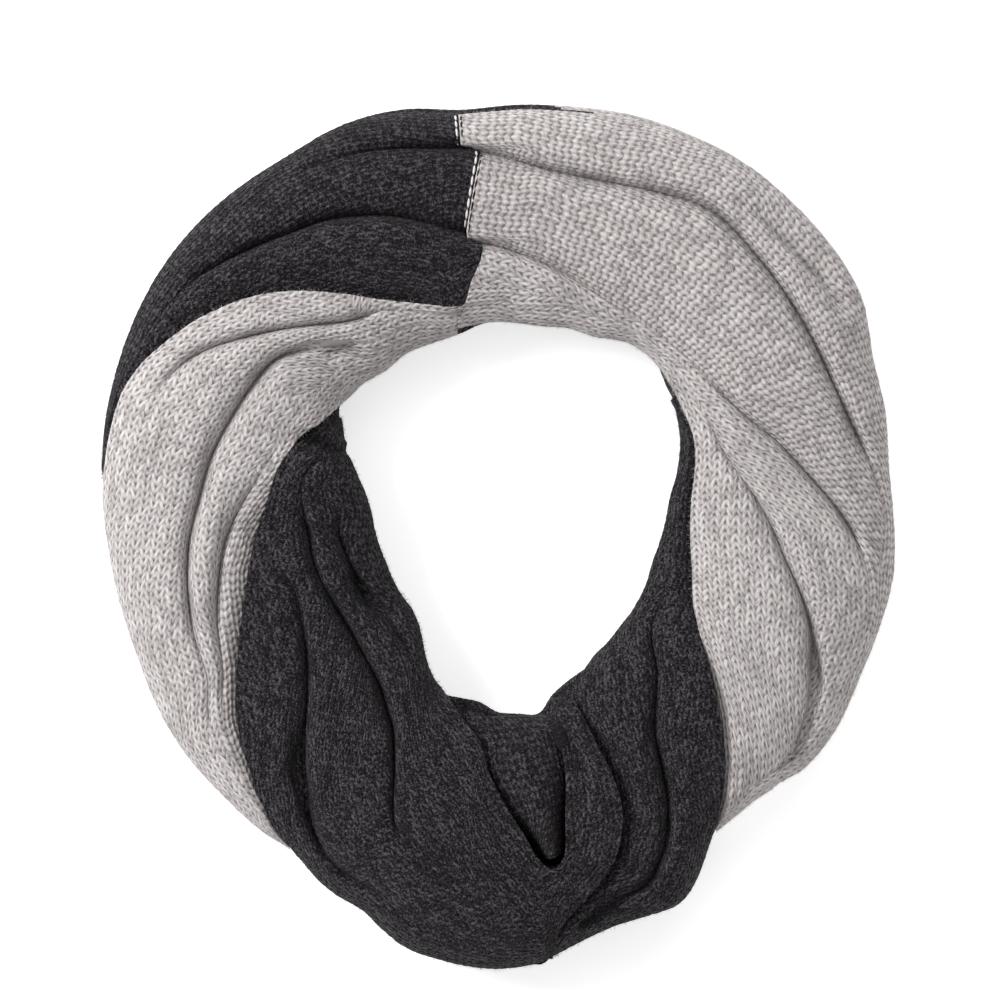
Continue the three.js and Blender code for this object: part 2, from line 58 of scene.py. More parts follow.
# Forms that the part's own source has too: dome of the ring, creases, hems and the seam
CENTRE = (2.55, 5.9)
GAP = 0.6
RIM_HEIGHT = 24.0
DOME_POWER = 2.3
SHOULDER = 13.0
SLOPE_UNDER = 24.0
HEM_DROP = 8.0
HEM_CURL = 2.6
FOLD_LIMIT = 24.0
STEP = 4.0
SEAM_X = -16.2
SEAM_AT = 95.6
SEAM_CORNER = 100.7
SEAM_FADE = 16.0
SEAM_SLIT = 0.2

# Fine cloth: wall and its largest share of a narrow strip, each so-many-th point kept on the inner
# wall, points of a hem's turn, least span with a full hem, and easing of the points to the creases
WALL = 2.5
THIN_SHARE = 0.36
INNER_EVERY = 7
HEM_POINTS = 8
HEM_SPAN = 9.0
EASED = 0.6
ROUGH_STEPS = 30

# Share of a line's own length in its row spacing; the rest is its strip's mean
OWN_SHARE = 0.04

# Stitch shapes on the face and on the purl side: lean of the rows within a column, and how deep
# the line between rows is beside the dark spots where the loops pull through
FACE_LEAN = 1.9
PURL_LEAN = 0.85
FACE_LINE = 0.3
PURL_LINE = 0.45
FACE_DIP = 0.25
PURL_DIP = 0.35
STAGGER = 0.1
STAGGER_TURN = 1.7
LEAF_ROUND = 0.8
COLUMN_SPOT = 0.8
STRAND_RUN = 1.3

# Wander of the stitches over the cloth in mm: pitch and reach, coarse and fine
WANDERS = ((26.0, 1.0), (7.0, 0.45), (2.9, 0.3))
WANDER_MARKS = (97, 89)
WANDER_START = 40

# Narrow slot at the bottom of a crease: extra depth, half width, depth of a crease that has a full
# slot, and the two waves per mm that make it uneven
SLOT_DEPTH = 3.6
SLOT_WIDTH = 1.9
SLOT_FULL = 6
SLOT_WAVES = (0.21, 0.083)

# Raised stitches fade out beside a crease over this many mm
CREASE_FADE = 2.4

# Ends of a stretch that run in under a neighbour: reach along the cloth and depth
TIP_REACH = 16.0
TIP_DEPTH = 8.0

# The joining seam leans and steps from roll to roll: radius, sideways shift, and reach of the shift
SEAM_SHIFT = np.array([
    (85, -3.0), (86.6, -1.2), (88.4, 0.4), (92, 1.3), (96.5, 2.5), (104.5, 6.2), (111.0, 7.2),
    (113.2, 0.8), (116.5, 0.6), (132.9, 3.2), (148.0, 6.0), (150.4, -1.8), (162.6, -2.8),
])
SEAM_SHIFT_REACH = 36.0

# Ring sections: angle, outline radius, hole radius, crest height, lower layers past the rim
RING = np.array([
    (0, 155.6, 64.0, 47, -2.5), (8, 155.2, 66.4, 47, -2.5), (16, 158.4, 71.4, 47, -3),
    (24, 161.2, 76.4, 48, -3), (32, 168.4, 80.6, 48, -3), (40, 170.8, 82.8, 48, -3),
    (48, 171.6, 87.0, 48, -2.5), (56, 172.2, 86.0, 47, 0.6), (64, 169.8, 81.6, 46, 2.2),
    (72, 168.2, 80.8, 45, 2.8), (80, 166.0, 78.8, 45, 2.8), (88, 164.6, 79.2, 45, 2.6),
    (96, 163.4, 78.0, 46, 2.6), (104, 168.4, 75.4, 47, 1.8), (112, 171.2, 75.8, 48, 0.4),
    (120, 170.0, 76.8, 49, -2), (128, 170.6, 76.0, 50, -2.5), (136, 171.0, 78.4, 51, -3),
    (144, 170.4, 79.6, 52, -3), (152, 168.6, 72.6, 52, -3), (160, 166.4, 64.0, 52, -3),
    (168, 164.2, 57.0, 52, -2.5), (176, 161.4, 53.2, 51, -2.5), (184, 159.0, 51.8, 50, -3),
    (192, 157.6, 50.8, 50, -3), (200, 156.8, 50.0, 49, -3), (208, 157.8, 50.2, 49, -3),
    (216, 158.2, 50.6, 49, -3), (224, 157.6, 51.0, 50, -3), (232, 157.8, 54.8, 50, -2.5),
    (238, 157.6, 60.6, 51, -2.5), (244, 163.2, 67.0, 52, -2.5), (250, 166.0, 71.8, 53, -3),
    (256, 174.4, 71.6, 54, -3), (262, 177.6, 71.8, 55, -3), (268, 179.2, 75.2, 56, -3),
    (274, 177.4, 76.0, 56, -3), (280, 171.2, 76.8, 55, -3), (285, 168.0, 71.0, 54, -3),
    (290, 168.0, 68.0, 53, -3), (295, 168.0, 66.4, 52, -3), (299, 160.8, 65.8, 52, -2.5),
    (303, 152.0, 65.0, 51, -2), (308, 150.0, 63.8, 50, -2), (313, 150.4, 62.8, 50, -2.5),
    (320, 155.2, 62.0, 49, -3), (328, 156.6, 62.0, 49, -3), (336, 155.2, 61.6, 48, -3),
    (344, 155.8, 61.0, 48, -2.5), (352, 157.0, 62.2, 47, -2.5),
])

# Front light stretch: angle, then radius and depth of the roll crease, the turned selvage and the
# flap's own fold, then the inner edge's radius and how deep it lies
FRONT_LIGHT = np.array([
    (-56, 149.8, 0, 149.2, 0, 148.6, 0, 149.6, 6), (-48, 148.8, 0, 147.2, 0, 144.6, 2, 130.4, 6),
    (-40, 153.8, 0, 152.4, 0, 147.6, 5, 110.0, 6), (-32, 154.6, 0, 152.8, 0, 143.6, 7, 92.8, 3),
    (-24, 153.6, 0, 150.6, 0, 135.4, 8, 82.0, 1.5), (-16, 154.0, 0, 150.4, 4, 124.4, 7, 77.4, 1),
    (-8, 151.0, 0, 146.0, 6, 112.8, 5, 74.4, 1), (0, 151.6, 3, 136.0, 6, 104.8, 5, 73.6, 1),
    (8, 148.0, 6, 123.2, 6, 97.6, 4, 75.0, 1), (16, 143.4, 7, 113.0, 5, 91.6, 3, 78.6, 1),
    (24, 141.8, 8, 104.0, 5, 90.0, 2, 82.0, 1), (32, 142.4, 8, 99.2, 5, 90.6, 0, 83.4, 1),
    (40, 144.0, 8, 97.2, 5, 90.6, 0, 85.2, 0.5), (48, 146.2, 9, 96.0, 5, 91.2, 0, 87.0, 0),
    (56, 148.8, 10, 95.6, 5, 90.6, 0, 86.0, 0), (64, 145.2, 10, 96.0, 5, 88.6, 0, 81.6, 0),
    (72, 141.6, 10, 98.8, 5, 89.6, 0, 80.8, 0), (80, 140.6, 10, 102.8, 5, 90.6, 0, 78.8, 0),
    (88, 143.4, 8, 106.8, 6, 93.0, 0, 79.2, 0), (96.5, 149.0, 7, 112.2, 6, 93.6, 0, 77.9, 0),
])

# Front dark stretch: angle, radius and depth of two creases, inner edge and how deep it lies
FRONT_DARK = np.array([
    (96.5, 149.6, 6, 116.0, 7, 87.2, 0.5), (104, 153.4, 5, 123.0, 7, 87.8, 3),
    (112, 158.0, 3, 131.2, 7, 93.4, 7), (120, 161.0, 1, 138.8, 7, 102.0, 8),
    (128, 162.4, 0, 144.0, 6, 115.6, 8), (136, 162.6, 0, 151.0, 5, 130.4, 7),
    (144, 164.4, 0, 157.6, 3, 142.4, 6), (152, 164.4, 0, 160.4, 1, 152.4, 4),
    (160, 164.6, 0, 162.6, 0, 160.4, 2), (168, 163.2, 0, 162.2, 0, 161.2, 1),
])

# Back light stretch: angle, outer edge and its depth, then radius and depth of three creases,
# then the inner edge and its depth
BACK_LIGHT = np.array([
    (101, 87.2, 0.5, 84.6, 0, 81.8, 0, 78.8, 0, 75.8, 0),
    (104, 87.8, 0.5, 84.8, 0, 81.6, 0, 78.6, 0, 75.4, 0),
    (112, 93.4, 1, 89.6, 0, 85.0, 0, 80.4, 0, 75.8, 0),
    (120, 102.0, 1, 96.6, 4, 87.0, 0, 81.8, 0, 76.8, 0),
    (128, 115.6, 1, 101.0, 7, 89.6, 0, 82.4, 0, 76.0, 0),
    (136, 130.4, 1, 111.6, 7, 100.0, 2, 88.4, 0, 78.4, 0),
    (144, 142.4, 1, 125.2, 6, 111.0, 8, 90.0, 0, 79.8, 0),
    (152, 152.4, 1, 140.0, 4, 114.0, 9, 91.6, 0, 83.0, 2),
    (160, 160.4, 0.5, 147.4, 1, 116.4, 9, 94.0, 0, 88.8, 3),
    (168, 161.2, 0, 146.4, 0, 119.6, 9, 97.2, 2, 92.6, 3),
    (176, 161.4, 0, 146.4, 0, 122.0, 9, 104.4, 4, 94.8, 5),
    (184, 159.0, 0, 145.6, 0, 126.0, 9, 111.2, 6, 99.6, 7),
    (192, 157.6, 0, 145.4, 0, 129.0, 9, 116.4, 6, 104.4, 8),
    (200, 156.8, 0, 146.0, 0, 131.6, 8, 121.6, 5, 111.2, 8),
    (208, 157.8, 0, 148.0, 0, 133.8, 6, 127.0, 2, 120.6, 8),
    (216, 158.2, 0, 151.4, 0, 144.6, 0, 138.0, 0, 132.0, 7),
    (224, 157.6, 0, 153.4, 0, 149.2, 0, 145.4, 0, 141.6, 5),
    (232, 157.8, 0, 156.0, 0, 154.6, 0, 153.2, 0, 151.6, 3),
])

# Lower dark stretch, first part: angle, outer edge and its depth, radius and depth of three folds
LOWER_DARK = np.array([
    (148, 81.2, 3, 80.2, 0, 79.0, 0, 77.8, 0), (152, 83.0, 3, 80.4, 0, 77.8, 0, 75.2, 0),
    (160, 88.8, 3, 83.6, 0, 77.4, 0, 70.6, 0), (168, 92.6, 3, 88.0, 0, 82.0, 4, 69.0, 0),
    (176, 94.8, 2, 89.0, 0, 81.0, 7, 66.4, 1), (184, 99.6, 1, 90.4, 0, 78.4, 8, 66.4, 4),
    (192, 104.4, 1, 90.0, 0, 78.0, 9, 64.6, 6), (200, 111.2, 1, 88.0, 3, 76.6, 9, 63.4, 6),
    (208, 120.6, 1, 91.0, 5, 75.4, 9, 62.2, 6), (216, 132.0, 1, 97.6, 7, 75.4, 9, 60.8, 5),
    (224, 141.6, 1, 110.0, 7, 77.4, 9, 61.4, 4), (232, 151.6, 0.5, 132.0, 7, 81.6, 9, 63.4, 3),
    (238, 157.6, 0, 145.0, 6, 88.4, 9, 68.0, 1), (244, 163.2, 0, 153.4, 5, 100.0, 8, 78.0, 0),
    (250, 166.0, 0, 156.0, 2, 128.0, 4, 92.0, 0),
])

# Turning edge of the lower dark stretch, in plan: over the tongue, round the hollow, up to the hole
TURN_EDGE = np.array([
    (-21.0, -62.6), (-13.8, -73.0), (-7.2, -81.8), (-3.6, -94.0), (3.8, -108.2), (9.8, -117.6),
    (15.2, -127.0), (21.4, -132.0), (26.4, -125.0), (26.2, -107.0), (25.8, -87.0), (20.6, -71.4),
])

# Fold between the turning band and the right dark stretch, in plan, from the rim up to the hole
KNOT_FOLD = np.array([
    (19.6, -170.2), (25.6, -155.0), (34.6, -145.0), (42.0, -136.2), (46.6, -127.8),
    (49.0, -117.4), (49.0, -107.0), (45.0, -93.8), (37.0, -78.2), (29.4, -63.6),
])

# Turn sections on the rim: angle, place on the turning edge; then those on the knot fold
TURN_RIM = ((253, 0.4), (257, 1), (261, 2), (264, 3), (267, 4), (270, 5), (273, 5.7))
TURN_FOLD = ((0, 6.2), (1, 6.5), (2, 6.8), (3, 7.1), (4, 7.5), (5, 8), (6, 8.8), (7, 9.6),
             (8, 10.4), (9, 11))

# Tongue sections: places on the two sides of the turning edge, and how deep the cloth lies
TONGUE = ((0.9, 11, 5), (2, 10.6, 5), (3, 10, 6), (4, 9.4, 8.5), (4.9, 9, 13), (5.4, 8.6, 20),
          (5.9, 8.2, 27), (6.3, 7.9, 31))

# Right dark stretch: angle of the outer end; place on the knot fold, or angle on the hole; share
# across and depth of the long crease; depth of the outer and of the inner edge
RIGHT_FOLD = ((275.9, 0.12, 0.5, 0, 0, 1), (277, 0.5, 0.5, 0, 0, 1), (280, 1, 0.5, 0, 0, 3),
              (285, 2, 0.5, 2, 0, 5), (290, 3, 0.5, 4, 0, 7), (294, 4, 0.48, 6, 0, 8),
              (297, 5, 0.48, 7, 0, 8), (300, 6, 0.46, 8, 0, 8), (304, 7, 0.46, 8, 0.5, 8),
              (308, 8, 0.46, 8, 1, 7), (312, 9, 0.46, 7, 1, 3))
RIGHT_HOLE = ((316, 301, 0.5, 6, 1, 0), (320, 310, 0.55, 5, 1, 0), (324, 318, 0.66, 4, 1, 0),
              (328, 325, 0.7, 2, 2, 0), (336, 335, 0.6, 0, 5, 0), (344, 344, 0.5, 0, 6, 0),
              (352, 352, 0.5, 0, 6, 0), (360, 360, 0.5, 0, 6, 0), (368, 368, 0.5, 0, 5, 0),
              (376, 376, 0.5, 0, 4, 0), (384, 384, 0.5, 0, 3, 0), (392, 392, 0.5, 0, 1, 0),
              (396, 396, 0.5, 0, 1, 0))

# Smaller creases of the cloth itself, in plan: depth, reach to each side, then angle and radius
SMALL_CREASES = (
    (3.0, 15.0, ((128.9, 84.7), (133.3, 91.6), (137, 97.8), (141.4, 101.8))),
    (7.0, 8.0, ((52.4, 159.0), (48.7, 160.4), (44.4, 160.4), (39.8, 161.2), (36.2, 161.2),
                (32.4, 160.0))),
    (2.6, 6.0, ((338.5, 130.3), (334.2, 137.3), (329.6, 143.3), (324.2, 147.1), (318.9, 149.8),
                (316.3, 151.2))),
    (3.0, 7.0, ((198.1, 67.3), (204.6, 64.6), (210.8, 61.9), (218, 59.3))),
    (2.4, 6.0, ((285.8, 83.7), (286.7, 90.7), (287.3, 98.5), (287.2, 106.9), (286.4, 114.8))),
    (3.0, 6.0, ((157.7, 87.3), (156.6, 81.4), (156.3, 75.5), (156.6, 70.1))),
    (3.2, 7.0, ((220.2, 111), (226.4, 121.1), (230.3, 129.6), (233.3, 134.4), (236.5, 139.7))),
    (3.0, 7.0, ((294.8, 136.3), (291.7, 146.1), (287.7, 154.2), (283.8, 159.5), (280.2, 164.3))),
)
CREASE_STEPS = 6

# Where stretches begin and end, and from where an edge follows a neighbour's edge, in degrees
FRONT_LIGHT_FROM = -55.6
FRONT_DARK_TO = 174
FRONT_DARK_BEHIND = 166
BACK_LIGHT_BEFORE = 0.3
BACK_LIGHT_TO = 236.5
BACK_LIGHT_BEHIND = 231
LOWER_DARK_SPAN = (148, 250)
RIGHT_DARK_BEHIND = 303
EVEN_FOLDS = (0.25, 0.5, 0.75)
TURN_FADE = 2.6

# Angles between which a strip shows its purl side
PURL_FRONT = (-17.4, 97)
PURL_BACK = (164, 237)
PURL_LOWER = (150, 213)

# Hidden layers: spacing of the sections that find the cloth above, and sizes of the layer edges
CORE_STEP = 6
CORE_SHARES = (0.12, 0.24, 0.38, 0.5, 0.62, 0.76, 0.88)
CORE_REACH_AT = 8
CORE_REACH = 12
CORE_CLEAR = 0.7
CORE_INSET = 2
LAYERS = 2
LAYER_HEIGHT = 7
LAYER_LIP = 3.2
LAYER_PITCH = 1.3
LAYER_ROWS = 18
LIGHT_UNDER = (-57, 85)
CORE_RADIUS = 165
LIP_EDGE = 1.2

# Dark stripe above the light lower layer at the top, partly the dark layer's edge and partly painted
# shade of the thin shadow line under the front roll's edge: angles, and the row up the edge it starts from
STRIPE_AT = (60, 66, 76, 82, 85)
STRIPE_FROM = (20, 17.8, 17.3, 16, 13)

# Looks of the two knits: spread of tone from stitch to stitch, of the fibres and over larger
# patches; whether the fibres lie along the strands, and their scale; height of a stitch above which
# no painted groove shade darkens it; sheen
LIGHT_LOOK = {"stitch": 0.4, "fibre": 0.95, "cloud": 0.2, "along": True, "scale": 4.5, "top": 0.9,
              "sheen": 0.12}
DARK_LOOK = {"stitch": 0.5, "fibre": 2.1, "cloud": 0.06, "along": False, "scale": 1250.0, "top": 1.0,
             "sheen": 0.03}
# Span of stitch height over which the painted shade in the grooves fades into the yarn's colour
GROOVE_SHADE_RISE = 0.8
KNITS = {"light": ("light_heather_stockinette_knit", LIGHT_LOOK),
         "dark": ("charcoal_heather_stockinette_knit", DARK_LOOK)}

# Yarn along the seam: margin in columns at the creases, length, slant and rings of a stitch
SEAM_MARGIN = 3
SEAM_PITCH = 4.6
SEAM_SLANT = 0.12
SEAM_RINGS = 4
SEAM_SIDES = 6

# Seam yarn and the dark line beside it: piece, its stretch, row of the stretch's wall, row beside it, lift
# and radius in mm
LIGHT_SEAM = ("seam_stitches_light", "front_dark", 1, 2, 0.2, 0.5)
# Short dark spindles that draw a thin dark line along the light rolls' edge at the seam
DARK_SEAM = ("seam_stitches_dark", "front_light", -2, -3, 0.0, 0.42)

# Loose fibres: number on the light and on the charcoal cloth, length range and radius in mm
FIBRES = (9000, 11000)
FIBRE_LENGTH = (0.7, 2.0)
FIBRE_RADIUS = 0.05
FIBRE_SIDES = 3
FIBRE_FLOOR = 6.0
FIBRE_LEAN = 0.9

# Stage: lamps with place, size and power; middle of the view in mm, camera height and view width
LIGHTS = (
    ("left_softbox", (-1.7, 0.9, 1.6), 1.1, 54),
    ("top_softbox", (0.4, 1.6, 2.0), 1.3, 9),
)
VIEW = (0.6, 14.2)
VIEW_HEIGHT = 3.0
VIEW_WIDTH = 0.4

# What the stretches leave for the pieces made after them
INNER_WALLS = []
OUTER_WALLS = {}
CUTS = []


def polar(at, radius):
    """Plan point at an angle and a radius from CENTRE."""
    angle = np.radians(at)
    return np.stack([CENTRE[0] + radius * np.cos(angle), CENTRE[1] + radius * np.sin(angle)], -1)


def through(at, values, closed=False):
    """Smooth function through rows; a closed one repeats every turn."""
    at = np.asarray(at, float)
    values = np.asarray(values, float)
    if closed:
        at = np.concatenate([at[-2:] - 360, at, at[:2] + 360])
        values = np.concatenate([values[-2:], values, values[:2]])
    before = np.concatenate([[0], np.arange(len(at) - 1)])
    after = np.concatenate([np.arange(1, len(at)), [len(at) - 1]])
    run = (at[after] - at[before]).reshape((-1,) + (1,) * (values.ndim - 1))
    slope = (values[after] - values[before]) / run

    def value(place):
        place = np.asarray(place, float)
        if closed:
            place = np.mod(place, 360)
        row = np.clip(np.searchsorted(at, place, side="right") - 1, 0, len(at) - 2)
        length = at[row + 1] - at[row]
        t = np.clip((place - at[row]) / length, 0, 1)
        if values.ndim > 1:
            t, length = t[..., None], length[..., None]
        t2, t3 = t * t, t * t * t
        return ((2 * t3 - 3 * t2 + 1) * values[row] + (t3 - 2 * t2 + t) * length * slope[row]
                + (3 * t2 - 2 * t3) * values[row + 1] + (t3 - t2) * length * slope[row + 1])

    return value


rim_at = through(RING[:, 0], RING[:, 1], closed=True)
hole_at = through(RING[:, 0], RING[:, 2], closed=True)
high_at = through(RING[:, 0], RING[:, 3], closed=True)
under_at = through(RING[:, 0], RING[:, 4], closed=True)
turn_edge = through(np.arange(len(TURN_EDGE)), TURN_EDGE)
knot_fold = through(np.arange(len(KNOT_FOLD)), KNOT_FOLD)


def crease_depths(points):
    """How far the small creases sink the cloth at plan points."""
    sunk = np.zeros(points.shape[:-1])
    for deep, reach, rows in SMALL_CREASES:
        marks = np.array(rows, float)
        line = through(np.arange(len(marks)), polar(marks[:, 0], marks[:, 1]))
        path = line(np.linspace(0, len(marks) - 1, CREASE_STEPS * len(marks)))
        taper = np.sin(np.pi * np.linspace(0.04, 0.96, len(path))) ** 0.6
        inside = ((points > path.min(0) - reach) & (points < path.max(0) + reach)).all(-1)
        some = points[inside]
        best = np.full(len(some), np.inf)
        scale = np.zeros(len(some))
        for start, end, soft in zip(path[:-1], path[1:], taper):
            run = end - start
            share = np.clip(((some - start) @ run) / (run @ run), 0, 1)
            away = np.linalg.norm(some - start - share[:, None] * run, axis=-1)
            scale = np.where(away < best, soft, scale)
            best = np.minimum(best, away)
        share = np.clip(1 - best / reach, 0, 1)
        sunk[inside] += deep * scale * share * share * (3 - 2 * share) * (0.4 + 0.6 * share)
    return sunk


def dome(points):
    """Crest surface of the whole ring at plan points."""
    away = points - np.array(CENTRE)
    at = np.degrees(np.arctan2(away[..., 1], away[..., 0]))
    hole = hole_at(at)
    share = np.clip((np.linalg.norm(away, axis=-1) - hole) / (rim_at(at) - hole), 0, 1)
    round_ = 1 - np.abs(2 * share - 1) ** DOME_POWER
    return RIM_HEIGHT + (high_at(at) - RIM_HEIGHT) * round_ ** (1 / DOME_POWER)


def steps(start, stop):
    """Angles from one section to another at about STEP degrees."""
    return np.linspace(start, stop, int(round((stop - start) / STEP)) + 1)


def seam_angle(radius):
    """Angle of the joining seam at a radius."""
    return np.degrees(np.arccos(SEAM_X / radius))


# Outer edges that neighbours follow
BACK_OUTER = through(BACK_LIGHT[:, 0], BACK_LIGHT[:, 1])
LOWER_OUTER = through(LOWER_DARK[:, 0], LOWER_DARK[:, 1])


def radial_rows(at, outer, inner, folds, ends, seam=None, side=0):
    """Section rows of a ring stretch: outer point, inner point, fold shares, fold depths, end depths."""
    near = 0 if seam is None else np.clip(1 - np.abs(at - seam) / SEAM_FADE, 0, 1)
    slant = (seam_angle(inner) - seam_angle(outer)) * near
    slit = side * SEAM_SLIT
    out = polar(at + np.degrees(slit / outer), outer)
    inn = polar(at + np.degrees(slit / inner) + slant, inner)
    shares = np.stack([(outer - radius) / (outer - inner) for radius, _ in folds], -1)
    deeps = np.stack([deep for _, deep in folds], -1)
    return np.concatenate([out, inn, shares, deeps, np.stack(ends, -1)], -1)


def front_light_rows():
    """Rows of the front light stretch, from its tip at the lower right to the seam."""
    at = steps(FRONT_LIGHT_FROM, SEAM_AT)
    value = through(FRONT_LIGHT[:, 0], FRONT_LIGHT[:, 1:])(at).T
    folds = [(value[0], value[1]), (value[2], value[3]), (value[4], value[5])]
    return radial_rows(at, rim_at(at), value[6], folds, [0 * at, value[7]], SEAM_AT, -1)


def front_dark_rows():
    """Rows of the front dark stretch, from the seam to its tip at the left."""
    at = steps(SEAM_AT, FRONT_DARK_TO)
    line = through(FRONT_DARK[:, 0], FRONT_DARK[:, 1:])
    value = line(at).T
    value[4] = np.where(at > FRONT_DARK_BEHIND, BACK_OUTER(at), value[4])
    near = np.clip(1 - (at - SEAM_AT) / SEAM_FADE, 0, 1)
    edge = np.where(near > 0, line(at + (SEAM_CORNER - SEAM_AT) * near).T[4], value[4])
    folds = [(value[0], value[1]), (value[2], value[3])]
    return radial_rows(at, rim_at(at), edge, folds, [0 * at, value[5]], SEAM_AT, 1)


def back_light_rows():
    """Rows of the back light stretch, from the flap's corner round the left side."""
    at = steps(SEAM_CORNER - BACK_LIGHT_BEFORE, BACK_LIGHT_TO)
    value = through(BACK_LIGHT[:, 0], BACK_LIGHT[:, 1:])(at).T
    past = at > BACK_LIGHT_BEHIND
    value[0] = np.where(past, rim_at(at), value[0])
    value[8] = np.where(past, LOWER_OUTER(at), value[8])
    for fold, share in zip((2, 4, 6), EVEN_FOLDS):
        value[fold] = np.where(past, value[0] + (value[8] - value[0]) * share, value[fold])
    folds = [(value[2], value[3]), (value[4], value[5]), (value[6], value[7])]
    return radial_rows(at, value[0], value[8], folds, [value[1], value[9]], SEAM_CORNER, 1)


def lower_dark_rows():
    """Rows of the lower dark stretch: round the lower left, then the turn round the hollow."""
    at = steps(*LOWER_DARK_SPAN)
    value = through(LOWER_DARK[:, 0], LOWER_DARK[:, 1:])(at).T
    folds = [(value[2], value[3]), (value[4], value[5]), (value[6], value[7])]
    ring = radial_rows(at, value[0], hole_at(at), folds, [value[1], 0 * at])
    sections = [(*polar(a, float(rim_at(a))), *turn_edge(e), 0) for a, e in TURN_RIM]
    sections += [(*knot_fold(f), *turn_edge(e), 1) for f, e in TURN_FOLD]
    turn = []
    for i, (*ends, lift) in enumerate(sections):
        share = (i + 1) / len(sections)
        shares = ring[-1, 4:7] + (np.array(EVEN_FOLDS) - ring[-1, 4:7]) * share
        deeps = ring[-1, 7:10] * max(0, 1 - TURN_FADE * share) ** 2
        turn.append([*ends, *shares, *deeps, lift, 1])
    return np.concatenate([ring, np.array(turn)])


def right_dark_rows():
    """Rows of the right dark stretch, from the bottom up to its tip inside the right edge."""
    edge = through(FRONT_LIGHT[:, 0], FRONT_LIGHT[:, 7])
    rows = []
    for at, place, share, deep, lift, sink in RIGHT_FOLD:
        outer = float(edge(at - 360)) if at > RIGHT_DARK_BEHIND else float(rim_at(at))
        rows.append([*polar(at, outer), *knot_fold(place), share, deep, lift, sink])
    for at, hole, share, deep, lift, sink in RIGHT_HOLE:
        outer = float(edge(at - 360))
        rows.append([*polar(at, outer), *polar(hole, float(hole_at(hole))), share, deep, lift, sink])
    return np.array(rows)


def tongue_rows():
    """Rows of the tongue, from the hole down into the hollow."""
    return np.array([[*turn_edge(a), *turn_edge(b), d, d] for a, b, d in TONGUE])


def running_length(points):
    """Length along a line of points, at each of them."""
    return np.concatenate([[0], np.cumsum(np.linalg.norm(np.diff(points, axis=0), axis=1))])


def shoulder(distance, reach):
    """Rounded shoulder of a crease: 1 on its line, 0 at its reach."""
    share = np.clip(distance / reach, 0, 1)
    return 1 - np.sqrt(1 - (1 - share) ** 2)


def stitch_height(across, along, purl, wale, course):
    """Raised height of the stitches, 0 to 1, on the face or (purl = 1) on the reverse side."""
    place = across * MM / wale
    column = np.floor(place)
    x = place - column
    lean = FACE_LEAN + (PURL_LEAN - FACE_LEAN) * purl
    line = FACE_LINE + (PURL_LINE - FACE_LINE) * purl
    row = along * MM / course + lean * np.abs(x - 0.5) + STAGGER * np.sin(column * STAGGER_TURN)
    cut = 1 - np.sin(np.pi * (row - np.floor(row))) ** LEAF_ROUND
    between = 0.5 + 0.5 * (1 - 2 * purl) * np.cos(4 * np.pi * x)
    spot = between * (COLUMN_SPOT - (1 - COLUMN_SPOT) * np.cos(2 * np.pi * x))
    dip = (FACE_DIP + (PURL_DIP - FACE_DIP) * purl) * between
    return 1 - cut * (line + (1 - line) * spot) - dip * (1 - cut)


def wander(across, along, pitch, seed):
    """Smooth random value over the cloth, -1 to 1."""
    marks = np.random.default_rng(seed).uniform(-1, 1, WANDER_MARKS)
    a, b = across / pitch + WANDER_START, along / pitch + WANDER_START
    i, j = np.floor(a).astype(int), np.floor(b).astype(int)
    s, t = a - i, b - j
    s, t = s * s * (3 - 2 * s), t * t * (3 - 2 * t)
    i, j = (i % WANDER_MARKS[0], (i + 1) % WANDER_MARKS[0]), (j % WANDER_MARKS[1], (j + 1) % WANDER_MARKS[1])
    near, far = (marks[i[0], side] * (1 - s) + marks[i[1], side] * s for side in j)
    return near * (1 - t) + far * t


def hex_linear(text):
    """Linear colour from an sRGB hex value."""
    parts = [int(text[i:i + 2], 16) / 255 for i in (1, 3, 5)]
    return [c / 12.92 if c <= 0.04045 else ((c + 0.055) / 1.055) ** 2.4 for c in parts] + [1.0]


